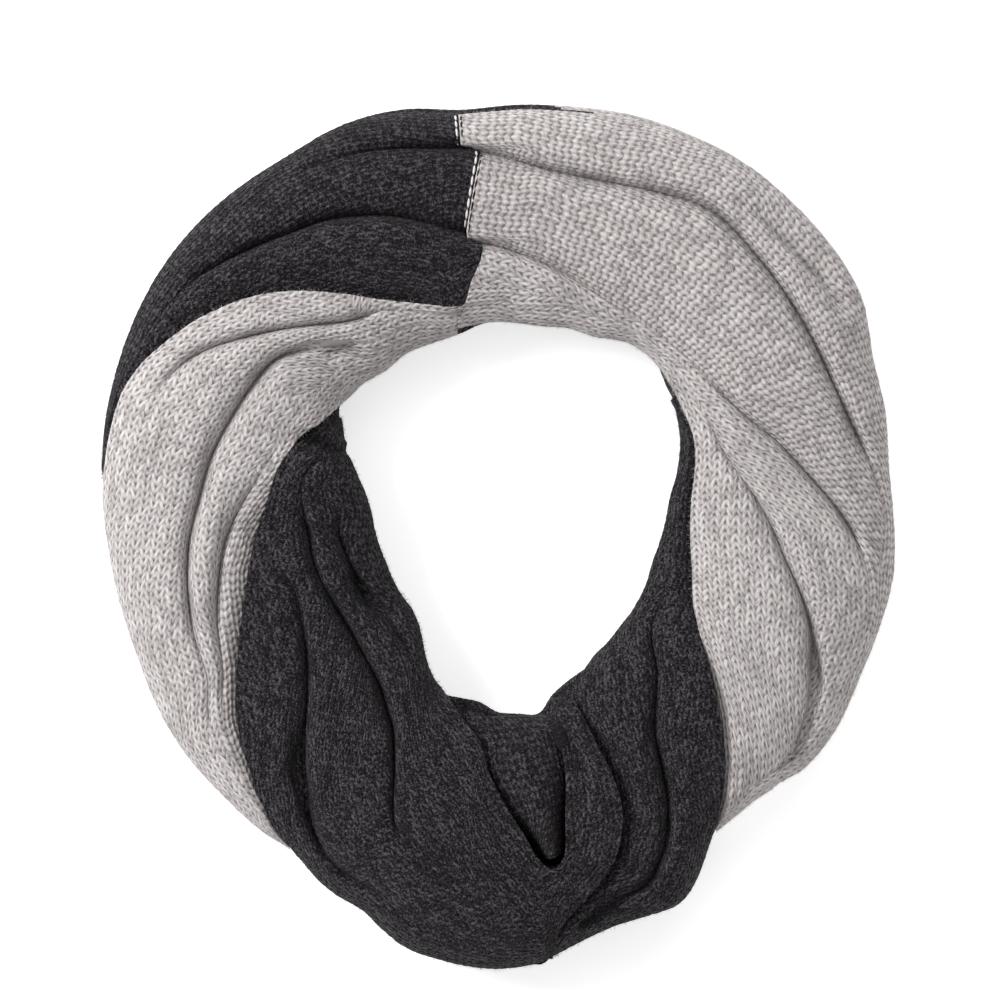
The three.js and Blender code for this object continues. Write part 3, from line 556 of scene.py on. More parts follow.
def section_points(rows, counts, tips):
    """Fine points of a stretch at its stations: positions, crease columns, thickness of the cloth."""
    folds = len(counts) - 1
    out, inn = rows[:, 0:2], rows[:, 2:4]
    shares, deeps, ends = rows[:, 4:4 + folds], rows[:, 4 + folds:4 + 2 * folds], rows[:, -2:]
    raw = np.linalg.norm(inn - out, axis=1)
    span = (raw - GAP)[:, None]
    along = (inn - out) / raw[:, None]
    start = out + along * GAP / 2
    stops = np.concatenate([0 * span, shares * span, span], 1)
    widths = np.diff(stops, axis=1)
    depths = np.minimum(deeps, np.minimum(widths[:, :-1], widths[:, 1:]) ** 2 / FOLD_LIMIT)
    across = []
    columns = []
    for roll, count in enumerate(counts):
        share = np.linspace(0, 1, count + 1)
        eased = (1 - EASED) * share + EASED * (1 - np.cos(np.pi * share)) / 2
        first = 0 if roll == 0 else 1
        across.append(stops[:, roll:roll + 1] + widths[:, roll:roll + 1] * eased[None, first:])
        columns.append(sum(len(part[0]) for part in across) - 1)
    across = np.concatenate(across, 1)
    plan = start[:, None] + along[:, None] * across[..., None]
    height = dome(plan)
    middle = (out + inn) / 2
    length = running_length(middle)[:, None]
    for end, left in zip(tips, (length, length[-1] - length)):
        height -= end * TIP_DEPTH * np.clip(1 - left / TIP_REACH, 0, 1) ** 2
    for fold in range(folds):
        side = np.where(across < stops[:, fold + 1:fold + 2], widths[:, fold:fold + 1],
                        widths[:, fold + 1:fold + 2])
        reach = np.minimum(SHOULDER, side / 2)
        away = np.abs(across - stops[:, fold + 1:fold + 2])
        height -= depths[:, fold:fold + 1] * shoulder(away, reach)
        quick, slow = (wave * length for wave in SLOT_WAVES)
        uneven = 0.75 + 0.25 * np.sin(quick + 2.1 * fold) * np.sin(slow + fold)
        full = np.clip(depths[:, fold:fold + 1] / SLOT_FULL, 0, 1) ** 1.5
        height -= SLOT_DEPTH * uneven * full * np.exp(-(away / SLOT_WIDTH) ** 2)
    under = np.minimum(SLOPE_UNDER, span / 2)
    height -= ends[:, 0:1] * (1 - np.clip(across / under, 0, 1)) ** 2
    height -= ends[:, 1:2] * (1 - np.clip((span - across) / under, 0, 1)) ** 2
    turns = np.radians(np.linspace(90, 0, HEM_POINTS + 1)[:-1])[None]
    scale = np.minimum(1, span / HEM_SPAN)
    curl = HEM_CURL * scale * (1 - np.cos(turns))
    drop = HEM_DROP * np.sin(turns)
    across = np.concatenate([curl, across, span - curl[:, ::-1]], 1)
    height = np.concatenate([height[:, :1] - drop, height, height[:, -1:] - drop[:, ::-1]], 1)
    plan = start[:, None] + along[:, None] * across[..., None]
    columns = [HEM_POINTS] + [HEM_POINTS + column for column in columns]
    thin = np.minimum(WALL, THIN_SHARE * span)
    return np.concatenate([plan, height[..., None]], -1), columns, thin


def seam_moved(points):
    """Points near the joining seam, moved sideways so that the seam leans as it really does."""
    away = points[..., :2] - np.array(CENTRE)
    radius = np.linalg.norm(away, axis=-1)
    near = np.clip(1 - np.abs(away[..., 0] - SEAM_X) / SEAM_SHIFT_REACH, 0, 1)
    shift = np.interp(radius, SEAM_SHIFT[:, 0], SEAM_SHIFT[:, 1])
    moved = points.copy()
    moved[..., 0] += np.where(away[..., 1] > 0, shift * near * near * (3 - 2 * near), 0)
    return moved


def normals_of(points):
    """Unit normals of a grid of points, turned upward on the whole."""
    side = np.gradient(points, axis=1)
    length = np.gradient(points, axis=0)
    normal = np.cross(length, side)
    normal /= np.maximum(np.linalg.norm(normal, axis=-1, keepdims=True), 1e-9)
    return normal if normal[..., 2].mean() > 0 else -normal


def even_stations(rows, pitch):
    """Stations of even length along a stretch, worked out from its section rows."""
    line = through(np.arange(len(rows)), rows)
    rough = np.linspace(0, len(rows) - 1, ROUGH_STEPS * len(rows))
    fine = line(rough)
    step = np.maximum(np.linalg.norm(np.diff(fine[:, 0:2], axis=0), axis=1),
                      np.linalg.norm(np.diff(fine[:, 2:4], axis=0), axis=1))
    length = np.concatenate([[0], np.cumsum(step)])
    count = int(round(length[-1] / pitch))
    return line(np.interp(np.linspace(0, length[-1], count + 1), length, rough))


def cloth_lengths(points, columns, groups, seed):
    """Real lengths on the cloth in mm, for each strip between splits: across and along."""
    across = np.concatenate([np.zeros((len(points), 1)),
                             np.cumsum(np.linalg.norm(np.diff(points, axis=1), axis=-1), axis=1)], 1)
    step = np.linalg.norm(np.diff(points, axis=0), axis=-1)
    strips = []
    for first, last, reference, purl in groups:
        low = 0 if first == 0 else columns[first]
        high = points.shape[1] - 1 if last == len(columns) - 1 else columns[last]
        middle = step[:, low:high + 1].mean(1, keepdims=True)
        run = (1 - OWN_SHARE) * middle + OWN_SHARE * step[:, low:high + 1]
        along = np.concatenate([np.zeros((1, high - low + 1)), np.cumsum(run, axis=0)], 0)
        wide = across[:, low:high + 1] - across[:, columns[reference]][:, None]
        moved = [sum(reach * wander(wide, along, pitch, seed + first * 7 + way * 31)
                     for pitch, reach in WANDERS) for way in (0, 1)]
        strips.append((low, high, wide + moved[0], along + moved[1], purl_side(points, purl)))
    return strips


def purl_side(points, purl):
    """The purl side as a value for each station: all, none, or between two angles."""
    if not isinstance(purl, tuple):
        return np.full(len(points), float(purl))
    away = points[:, points.shape[1] // 2, :2] - np.array(CENTRE)
    at = np.mod(np.degrees(np.arctan2(away[:, 1], away[:, 0])) - purl[0], 360)
    return (at < purl[1] - purl[0]).astype(float)


def knit_relief(strips, shape, scarf):
    """Raised height of the stitches over a grid, 0 to 1."""
    raised = np.zeros(shape)
    for low, high, across, along, purl in strips:
        raised[:, low:high + 1] = stitch_height(across, along, purl[:, None], scarf.wale, scarf.course)
    return raised


def closed_cloth(grid, inner, kept_rows, kept_columns):
    """Faces of a closed thin shell: a fine outer wall, a coarse inner one, and walls between them."""
    rows, cols = grid.shape[:2]
    number = np.arange(rows * cols).reshape(rows, cols)
    quads = np.stack([number[:-1, :-1], number[1:, :-1], number[1:, 1:], number[:-1, 1:]], -1)
    quads = quads.reshape(-1, 4)
    below = np.arange(len(kept_rows) * len(kept_columns)).reshape(len(kept_rows), -1) + rows * cols
    inner_quads = np.stack([below[:-1, :-1], below[:-1, 1:], below[1:, 1:], below[1:, :-1]], -1)
    inner_quads = inner_quads.reshape(-1, 4)
    edges = [
        (number[0, :], below[0, :], kept_columns, False),
        (number[-1, :], below[-1, :], kept_columns, True),
        (number[:, 0], below[:, 0], kept_rows, True),
        (number[:, -1], below[:, -1], kept_rows, False),
    ]
    triangles = []
    for fine, coarse, kept, turned in edges:
        for i, (begin, end) in enumerate(zip(kept[:-1], kept[1:])):
            half = (begin + end) // 2
            made = [(fine[k], fine[k + 1], coarse[i]) for k in range(begin, half)]
            made.append((fine[half], coarse[i + 1], coarse[i]))
            made += [(fine[k], fine[k + 1], coarse[i + 1]) for k in range(half, end)]
            triangles += [face[::-1] for face in made] if turned else made
    points = np.concatenate([grid.reshape(-1, 3), inner.reshape(-1, 3)])
    return points, quads, inner_quads, np.array(triangles)


def every(count, gap, marks=()):
    """Kept row or column numbers: each gap-th one, the last one and the marked ones."""
    return np.array(sorted({*range(0, count, gap), count - 1, *marks}))


def faces_to_mesh(name, points, faces, corner_uv, purl):
    """Mesh in metres from points in mm, with its cloth lengths as UVs and the purl side as a value."""
    corners = np.concatenate([face.reshape(-1) for face in faces])
    sizes = np.concatenate([np.full(len(face), face.shape[1]) for face in faces])
    starts = np.concatenate([[0], np.cumsum(sizes)[:-1]])
    tri = np.concatenate([face[:, :3] for face in faces]
                         + [face[:, [0, 2, 3]] for face in faces if face.shape[1] == 4])
    volume = np.einsum("ij,ij->i", points[tri[:, 0]],
                       np.cross(points[tri[:, 1]], points[tri[:, 2]])).sum()
    mesh = bpy.data.meshes.new(name)
    mesh.vertices.add(len(points))
    mesh.vertices.foreach_set("co", (points * MM).astype(np.float32).reshape(-1))
    mesh.loops.add(len(corners))
    mesh.loops.foreach_set("vertex_index", corners.astype(np.int32))
    mesh.polygons.add(len(sizes))
    mesh.polygons.foreach_set("loop_start", starts.astype(np.int32))
    mesh.polygons.foreach_set("use_smooth", np.ones(len(sizes), bool))
    layer = mesh.uv_layers.new(name="cloth")
    layer.data.foreach_set("uv", corner_uv.astype(np.float32).reshape(-1))
    mesh.attributes.new("purl", "FLOAT", "FACE").data.foreach_set("value", purl.astype(np.float32))
    mesh.update(calc_edges=True)
    mesh.validate()
    if volume < 0:
        mesh.flip_normals()
    piece = bpy.data.objects.new(name, mesh)
    bpy.context.scene.collection.objects.link(piece)
    return piece


def stitch_fade(points, columns, thin):
    """How much of the stitches' relief shows: less at creases, at ends and on narrow strips."""
    fade = np.ones(points.shape[:2])
    for column in columns[1:-1]:
        away = np.linalg.norm(points - points[:, column:column + 1], axis=-1)
        fade *= np.clip(away / CREASE_FADE, 0, 1)
    row = np.arange(len(points))
    ends = np.minimum(row, row[::-1])
    return fade * np.clip(0.3 + ends / 3, 0, 1)[:, None] * np.clip(thin / WALL, 0, 1)


def strip_lengths(strips, rows, cols):
    """Cloth lengths at the corners of the outer wall's faces, and the purl side of each face."""
    uv = np.zeros(((rows - 1) * (cols - 1), 4, 2))
    purl_faces = np.zeros(len(uv))
    row_of = np.repeat(np.arange(rows - 1), cols - 1)
    col_of = np.tile(np.arange(cols - 1), rows - 1)
    for low, high, wide, long, purl in strips:
        mine = (col_of >= low) & (col_of < high)
        i, j = row_of[mine], col_of[mine] - low
        for corner, (a, b) in enumerate(((i, j), (i + 1, j), (i + 1, j + 1), (i, j + 1))):
            uv[mine, corner] = np.stack([wide[a, b], long[a, b]], -1)
        purl_faces[mine] = purl[i]
    return uv.reshape(-1, 2), purl_faces


def flat_cut(points):
    """Width and length of the cloth laid flat in metres, and its area in square metres."""
    wide = np.linalg.norm(np.diff(points, axis=1), axis=-1)
    long = np.linalg.norm(np.diff(points, axis=0), axis=-1)
    cells = 0.5 * (wide[1:] + wide[:-1]) * 0.5 * (long[:, 1:] + long[:, :-1])
    flat = (float(wide.sum(1).max()) * MM, float(long.sum(0).max()) * MM)
    return flat, float(cells.sum()) * MM * MM


def knit_band(name, rows, counts, groups, pitch, tips, seamed, material):
    """One stretch of the scarf: a thin closed shell of knitted cloth on its section rows."""
    scarf = bpy.context.scene.scarf
    points, columns, thin = section_points(even_stations(rows, pitch), counts, tips)
    points = points - normals_of(points) * crease_depths(points[..., :2])[..., None]
    if seamed:
        points = seam_moved(points)
    strips = cloth_lengths(points, columns, groups, len(name))
    normal = normals_of(points)
    raised = knit_relief(strips, points.shape[:2], scarf) - 0.5
    fade = stitch_fade(points, columns, thin)
    outer = points + normal * (raised * scarf.relief / MM * fade)[..., None]
    OUTER_WALLS[name] = (outer, normal, columns)
    rows, cols = points.shape[:2]
    kept = (every(rows, INNER_EVERY), every(cols, INNER_EVERY, columns))
    inner = (points - normal * thin[:, :, None])[np.ix_(*kept)]
    INNER_WALLS.append(inner.reshape(-1, 3))
    cloth, quads, *rest = closed_cloth(outer, inner, *kept)
    outer_uv, outer_purl = strip_lengths(strips, rows, cols)
    vertex_uv = np.zeros((len(cloth), 2))
    vertex_uv[:rows * cols] = np.stack(
        [np.tile(np.arange(cols), rows), np.repeat(np.arange(rows) * pitch, cols)], -1)
    rest_uv = [vertex_uv[face].reshape(-1, 2) for face in rest]
    purl = np.concatenate([outer_purl, np.zeros(sum(len(face) for face in rest))])
    piece = faces_to_mesh(name, cloth, [quads, *rest], np.concatenate([outer_uv, *rest_uv]) * MM, purl)
    piece.data.materials.append(material)
    return piece, *flat_cut(points)


# Steps of a knit material: name, operation, then names of earlier steps or plain numbers
KNIT_STEPS = (
    ("wales", "DIVIDE", "across", "wale"),
    ("column", "FLOOR", "wales"),
    ("x", "FRACT", "wales"),
    ("from_middle", "SUBTRACT", "x", 0.5),
    ("side_of_middle", "ABSOLUTE", "from_middle"),
    ("lean", "MULTIPLY_ADD", "purl", PURL_LEAN - FACE_LEAN, FACE_LEAN),
    ("line", "MULTIPLY_ADD", "purl", PURL_LINE - FACE_LINE, FACE_LINE),
    ("courses", "DIVIDE", "along", "course"),
    ("leaning", "MULTIPLY_ADD", "side_of_middle", "lean", "courses"),
    ("column_turn", "MULTIPLY", "column", STAGGER_TURN),
    ("column_start", "SINE", "column_turn"),
    ("row", "MULTIPLY_ADD", "column_start", STAGGER, "leaning"),
    ("strand_run", "MULTIPLY_ADD", "wales", STRAND_RUN, "column_start"),
    ("stitch", "FLOOR", "row"),
    ("y", "FRACT", "row"),
    ("y_turn", "MULTIPLY", "y", math.pi),
    ("hump", "SINE", "y_turn"),
    ("leaf", "POWER", "hump", LEAF_ROUND),
    ("cut", "SUBTRACT", 1.0, "leaf"),
    ("turn", "MULTIPLY", "x", 2 * math.pi),
    ("column_wave", "COSINE", "turn"),
    ("two_turns", "MULTIPLY", "turn", 2.0),
    ("spot_cosine", "COSINE", "two_turns"),
    ("turned", "MULTIPLY_ADD", "purl", -2.0, 1.0),
    ("spot_wave", "MULTIPLY", "spot_cosine", "turned"),
    ("spot_round", "MULTIPLY_ADD", "spot_wave", 0.5, 0.5),
    ("spot_side", "MULTIPLY_ADD", "column_wave", COLUMN_SPOT - 1, COLUMN_SPOT),
    ("spot", "MULTIPLY", "spot_round", "spot_side"),
    ("rest", "SUBTRACT", 1.0, "line"),
    ("pull", "MULTIPLY_ADD", "rest", "spot", "line"),
    ("pulled", "MULTIPLY", "cut", "pull"),
    ("dip_depth", "MULTIPLY_ADD", "purl", PURL_DIP - FACE_DIP, FACE_DIP),
    ("dip", "MULTIPLY", "dip_depth", "spot_round"),
    ("dipped", "MULTIPLY_ADD", "dip", "leaf", "pulled"),
    ("height", "SUBTRACT", 1.0, "dipped"),
    ("right_leg", "GREATER_THAN", "x", 0.5),
    ("strand", "MULTIPLY_ADD", "right_leg", 0.5, "column"),
)


def add_node(tree, kind, values=None, **settings):
    """Adds a node with its settings; each value is a number, a colour or another node's socket."""
    made = tree.nodes.new(kind)
    for name, setting in settings.items():
        setattr(made, name, setting)
    for key, value in (values or {}).items():
        socket = made.inputs[key]
        if isinstance(value, bpy.types.NodeSocket):
            tree.links.new(value, socket)
        else:
            socket.default_value = value
    return made


def new_wool(name):
    """A material that has only its output: the material, its node tree and the output's socket."""
    material = bpy.data.materials.new(name)
    material.use_nodes = True
    tree = material.node_tree
    tree.nodes.clear()
    return material, tree, add_node(tree, "ShaderNodeOutputMaterial").inputs[0]


def fibre_colours(tree, tone, stops):
    """Colour of the fibres from their tone; each stop is a tone and a colour."""
    ramp = add_node(tree, "ShaderNodeValToRGB", {0: tone})
    while len(ramp.color_ramp.elements) < len(stops):
        ramp.color_ramp.elements.new(0.5)
    for element, (position, colour) in zip(ramp.color_ramp.elements, stops):
        element.position = position
        element.color = hex_linear(colour)
    return ramp.outputs[0]


def heather_knit(name, colours, look, scarf):
    """Stockinette of heather wool blend yarn.

    Each stitch is a rounded leaf of yarn with its own tone, flecked with darker and paler
    fibres, with painted shade in the grooves between stitches, matt with a soft sheen of loose fibres.
    """
    yarn, fleck, pale, groove_shade = colours
    material, tree, surface = new_wool(name)
    lengths = add_node(tree, "ShaderNodeUVMap", uv_map="cloth")
    parts = add_node(tree, "ShaderNodeSeparateXYZ", {0: lengths.outputs[0]})
    side = add_node(tree, "ShaderNodeAttribute", attribute_name="purl")
    made = {"across": parts.outputs[0], "along": parts.outputs[1], "purl": side.outputs["Fac"],
            "wale": scarf.wale, "course": scarf.course}
    for step, operation, *terms in KNIT_STEPS:
        values = {i: made.get(term, term) for i, term in enumerate(terms)}
        made[step] = add_node(tree, "ShaderNodeMath", values, operation=operation).outputs[0]
    place = add_node(tree, "ShaderNodeCombineXYZ", {0: made["strand"], 1: made["stitch"], 2: 0.37})
    inside = add_node(tree, "ShaderNodeTexCoord").outputs["Object"]
    strands = add_node(tree, "ShaderNodeCombineXYZ", {0: made["row"], 1: made["strand_run"]})
    own = add_node(tree, "ShaderNodeTexWhiteNoise", {0: place.outputs[0]}, noise_dimensions="3D")
    fibre = add_node(tree, "ShaderNodeTexNoise", {
        "Vector": strands.outputs[0] if look["along"] else inside, "Scale": look["scale"],
        "Detail": 3.5, "Roughness": 0.78})
    cloud = add_node(tree, "ShaderNodeTexNoise", {
        "Vector": inside, "Scale": 42.0, "Detail": 3.0, "Roughness": 0.6})
    tones = {}
    mixed = 0.5
    for kind, noise, low, high in (("stitch", own, 0, 1), ("fibre", fibre, 0.3, 0.7),
                                   ("cloud", cloud, 0.3, 0.7)):
        tones[kind] = add_node(tree, "ShaderNodeMapRange", {
            0: noise.outputs[0], 1: low, 2: high, 3: -0.5, 4: 0.5}).outputs[0]
        mixed = add_node(tree, "ShaderNodeMath", {0: tones[kind], 1: look[kind], 2: mixed},
                         operation="MULTIPLY_ADD").outputs[0]
    shades = fibre_colours(tree, mixed, ((0.0, fleck), (0.5, yarn), (1.0, pale)))
    # Painted shade: the colour mixes towards the groove colour where the stitches lie low
    groove_shade_mask = add_node(tree, "ShaderNodeMapRange", {
        0: made["height"], 1: look["top"] - GROOVE_SHADE_RISE, 2: look["top"]})
    colour = add_node(tree, "ShaderNodeMix", {0: groove_shade_mask.outputs[0], 6: hex_linear(groove_shade), 7: shades},
                      data_type="RGBA")
    fine = add_node(tree, "ShaderNodeMath", {0: tones["fibre"], 1: 0.25, 2: made["height"]},
                    operation="MULTIPLY_ADD")
    bump = add_node(tree, "ShaderNodeBump", {
        "Height": fine.outputs[0], "Strength": 1.0, "Distance": 1.4 * scarf.relief})
    wool = add_node(tree, "ShaderNodeBsdfPrincipled", {
        "Base Color": colour.outputs[2], "Roughness": 0.92, "Specular IOR Level": 0.2,
        "Sheen Weight": look["sheen"], "Sheen Roughness": 0.45, "Normal": bump.outputs[0]})
    tree.links.new(wool.outputs[0], surface)
    return material


def heather_yarn(name, yarn, pale):
    """Loose heather yarn: matt fibres whose tone changes along the strand."""
    material, tree, surface = new_wool(name)
    where = add_node(tree, "ShaderNodeTexCoord")
    fibre = add_node(tree, "ShaderNodeTexNoise", {
        "Vector": where.outputs["Object"], "Scale": 900.0, "Detail": 2.0, "Roughness": 0.7})
    shades = fibre_colours(tree, fibre.outputs[0], ((0.35, yarn), (0.7, pale)))
    wool = add_node(tree, "ShaderNodeBsdfPrincipled", {
        "Base Color": shades, "Roughness": 0.95, "Specular IOR Level": 0.2,
        "Sheen Weight": 0.05, "Sheen Roughness": 0.5})
    tree.links.new(wool.outputs[0], surface)
    return material


def spindles(name, begins, ends, sides_of, radius, rings, sides, material):
    """Small closed spindles of yarn, each from one point to another, as one mesh."""
    run = ends - begins
    axis = run / np.linalg.norm(run, axis=1, keepdims=True)
    side = np.cross(axis, sides_of)
    side /= np.linalg.norm(side, axis=1, keepdims=True)
    up = np.cross(side, axis)
    shares = np.linspace(0, 1, rings + 2)
    turns = np.linspace(0, 2 * np.pi, sides, endpoint=False)
    points = [begins[:, None]]
    for share in shares[1:-1]:
        middle = begins + run * share
        wide = radius * np.sin(np.pi * share) ** 0.6
        ring = [middle + wide * (np.cos(turn) * side + np.sin(turn) * up) for turn in turns]
        points.append(np.stack(ring, 1))
    points.append(ends[:, None])
    points = np.concatenate(points, 1)
    count = points.shape[1]
    around = np.arange(sides)
    after = (around + 1) % sides
    first = np.stack([0 * around, 1 + around, 1 + after], 1)
    low = 1 + (rings - 1) * sides
    last = np.stack([0 * around + count - 1, low + after, low + around], 1)
    bands = [np.stack([1 + k * sides + around, 1 + (k + 1) * sides + around,
                       1 + (k + 1) * sides + after, 1 + k * sides + after], 1)
             for k in range(rings - 1)]
    shift = (np.arange(len(begins)) * count)[:, None, None]
    tri = (np.concatenate([first, last])[None] + shift).reshape(-1, 3)
    faces = [tri]
    if bands:
        faces.append((np.concatenate(bands)[None] + shift).reshape(-1, 4))
    corners = sum(face.size for face in faces)
    total = sum(len(face) for face in faces)
    piece = faces_to_mesh(name, points.reshape(-1, 3), faces, np.zeros((corners, 2)), np.zeros(total))
    piece.data.materials.append(material)
    return piece


def yarn_piece(name, runs, shape, material):
    """Spindles of yarn as a piece that rides the scarf; runs are begins, ends and sides."""
    begins, ends, sides_of = (np.concatenate(part) for part in zip(*runs))
    piece = spindles(name, begins, ends, sides_of, *shape, material)
    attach(piece, "root")
    return piece


def seam_stitches(name, node, row, beside, lift, radius, material):
    """Short slanting spindles along the joining seam on the two upper rolls: the light seam yarn, and a thin
    dark line beside it.
    """
    outer, normal, columns = OUTER_WALLS[node + "_knit"]
    runs = []
    for first, last in ((HEM_POINTS, columns[1]), (columns[1], columns[2])):
        part = slice(first + SEAM_MARGIN, last - SEAM_MARGIN)
        path, above = outer[row, part], normal[row, part]
        length = running_length(path)
        marks = np.linspace(0, length[-1], int(round(length[-1] / SEAM_PITCH)) + 1)
        line, across = (np.stack([np.interp(marks, length, axis) for axis in values.T], 1)
                        for values in (path + lift * above, above))
        slant = path[0] - outer[beside, part.start]
        slant = SEAM_SLANT * slant / np.linalg.norm(slant)
        runs.append((line[:-1] - slant, line[1:] + slant, across[:-1]))
    return yarn_piece(name, runs, (radius, SEAM_RINGS, SEAM_SIDES), material)


def loose_fibres(name, nodes, count, material, seed):
    """Short loose fibres standing out of the cloth, most of them where it turns away."""
    rng = np.random.default_rng(seed)
    walls = [OUTER_WALLS[node + "_knit"] for node in nodes]
    sizes = np.array([wall[0].shape[0] * wall[0].shape[1] for wall in walls], float)
    runs = []
    for (outer, normal, _), share in zip(walls, sizes / sizes.sum()):
        points, out = outer.reshape(-1, 3), normal.reshape(-1, 3)
        weight = np.clip(1.15 - out[:, 2], 0.05, 1) ** 2 * (points[:, 2] > FIBRE_FLOOR)
        chosen = rng.choice(len(points), int(count * share), p=weight / weight.sum())
        way = out[chosen] + rng.normal(0, FIBRE_LEAN, (len(chosen), 3))
        way /= np.linalg.norm(way, axis=1, keepdims=True)
        way = np.where((way * out[chosen]).sum(1, keepdims=True) < 0, -way, way)
        long = rng.uniform(*FIBRE_LENGTH, (len(chosen), 1))
        runs.append((points[chosen], points[chosen] + way * long, rng.normal(0, 1, (len(chosen), 3))))
    return yarn_piece(name, runs, (FIBRE_RADIUS, 1, FIBRE_SIDES), material)


def hide_layers_ceiling(points):
    """Lowest cloth above the hidden layers near each of their top points."""
    away = points[:, :2] - np.array(CENTRE)
    angle = np.degrees(np.arctan2(away[:, 1], away[:, 0]))
    radius = np.linalg.norm(away, axis=1)
    rows = []
    for at in np.arange(0, 360, CORE_STEP):
        outer, inner = float(rim_at(at) + under_at(at)), float(hole_at(at)) + CORE_INSET
        turn = np.abs(np.mod(angle - at + 180, 360) - 180) < CORE_REACH_AT
        row = []
        for share in CORE_SHARES:
            here = outer + (inner - outer) * share
            near = turn & (np.abs(radius - here) < CORE_REACH)
            row.append(max(points[near, 2].min() - CORE_CLEAR, LAYERS * LAYER_HEIGHT))
        rows.append(row)
    return np.array(rows)


def layer_edge(share):
    """Bulge and height of the two folded lower layers at a place up their edge, 0 to 1."""
    place = share * LAYERS
    layer = np.minimum(np.floor(place), LAYERS - 1)
    inside = place - layer
    return LAYER_LIP * (np.sin(np.pi * inside) ** 0.7 - 1), place * LAYER_HEIGHT


def hidden_band(scarf, ceilings, materials):
    """The lower layers, which share one rounded solid with two folded edges showing at each side."""
    lap = 2 * math.pi * CORE_RADIUS
    count = int(lap / LAYER_PITCH)
    at = np.linspace(0, 360, count, endpoint=False)
    share = np.linspace(0, 1, LAYER_ROWS + 1)
    bulge, z = layer_edge(share)
    outer, inner = rim_at(at) + under_at(at), hole_at(at) + CORE_INSET
    top = np.stack([np.interp(at, np.arange(0, 361, CORE_STEP), np.append(column, column[0]))
                    for column in ceilings.T], 1)
    top_radius = outer[:, None] + (inner - outer)[:, None] * np.array(CORE_SHARES)[None]
    radius = np.concatenate([outer[:, None] + bulge[None], top_radius,
                             inner[:, None] - bulge[None, ::-1]], 1)
    height = np.concatenate([np.repeat(z[None], count, 0), top, np.repeat(z[None, ::-1], count, 0)], 1)
    points = np.concatenate([polar(at[:, None], radius), height[..., None]], -1)
    wrapped = np.concatenate([points[-1:], points, points[:1]])
    normal = normals_of(wrapped)[1:-1]
    centre = points.mean(1, keepdims=True)
    outward = ((points - centre) * normal).sum(-1).mean() > 0
    normal = normal if outward else -normal
    across = np.concatenate([np.zeros((count, 1)), np.cumsum(np.linalg.norm(
        np.diff(points, axis=1), axis=-1), axis=1)], 1)
    whole = round(lap * MM / scarf.course) * scarf.course / MM
    along = np.repeat((at / 360 * whole)[:, None], points.shape[1], 1)
    raised = stitch_height(across, along, 0, scarf.wale, scarf.course)
    edge = np.zeros(points.shape[1])
    edge[1:LAYER_ROWS] = 1
    edge[-LAYER_ROWS:-1] = 1
    deep = np.clip((bulge + LAYER_LIP) / LIP_EDGE, 0, 1)
    edge[:LAYER_ROWS + 1] *= deep
    edge[-LAYER_ROWS - 1:] *= deep[::-1]
    points = points + normal * ((raised - 0.5) * scarf.relief / MM * edge[None])[..., None]
    points[:, (0, -1), 2] = 0
    rows, cols = points.shape[:2]
    number = np.arange(rows * cols).reshape(rows, cols)
    nxt = np.roll(number, -1, axis=0)
    quads = np.stack([number[:, :-1], nxt[:, :-1], nxt[:, 1:], number[:, 1:]], -1).reshape(-1, 4)
    floor = np.stack([number[:, -1], nxt[:, -1], nxt[:, 0], number[:, 0]], -1)
    ahead = along + whole / count
    left, right = slice(None, -1), slice(1, None)
    corners = ((left, along), (left, ahead), (right, ahead), (right, along))
    uv = np.stack([np.stack([across[:, side], lengths[:, side]], -1) for side, lengths in corners], 2)
    floor_uv = np.stack([np.stack([across[:, -1], along[:, -1]], -1)] * 4, 1)
    corner_uv = np.concatenate([uv.reshape(-1, 2), floor_uv.reshape(-1, 2)]) * MM
    piece = faces_to_mesh("hidden_layers_cloth", points.reshape(-1, 3), [quads, floor], corner_uv,
                          np.zeros(len(quads) + len(floor)))
    for material in materials:
        piece.data.materials.append(material)
    around = np.mod(at + 180, 360) - 180
    lit = (around > LIGHT_UNDER[0]) & (around < LIGHT_UNDER[1])
    # Charcoal rows from the stripe row up: partly the dark layer's edge, partly painted shade of the thin
    # shadow line under the front roll
    stripe = np.interp(around, STRIPE_AT, STRIPE_FROM)
    lit = lit[:, None] & (np.arange(cols - 1)[None] < stripe[:, None])
    index = np.concatenate([lit.reshape(-1), lit[:, 0]]).astype(np.int32)
    piece.data.polygons.foreach_set("material_index", index)
    return piece


def cloth_size(name, description, size):
    """A length of the cloth, given in mm."""
    return FloatProperty(name=name, description=description, default=size * MM, unit="LENGTH")


def yarn_colour(name, description, colour):
    """A colour of a yarn as an sRGB hex value."""
    return StringProperty(name=name, description=description, default=colour)


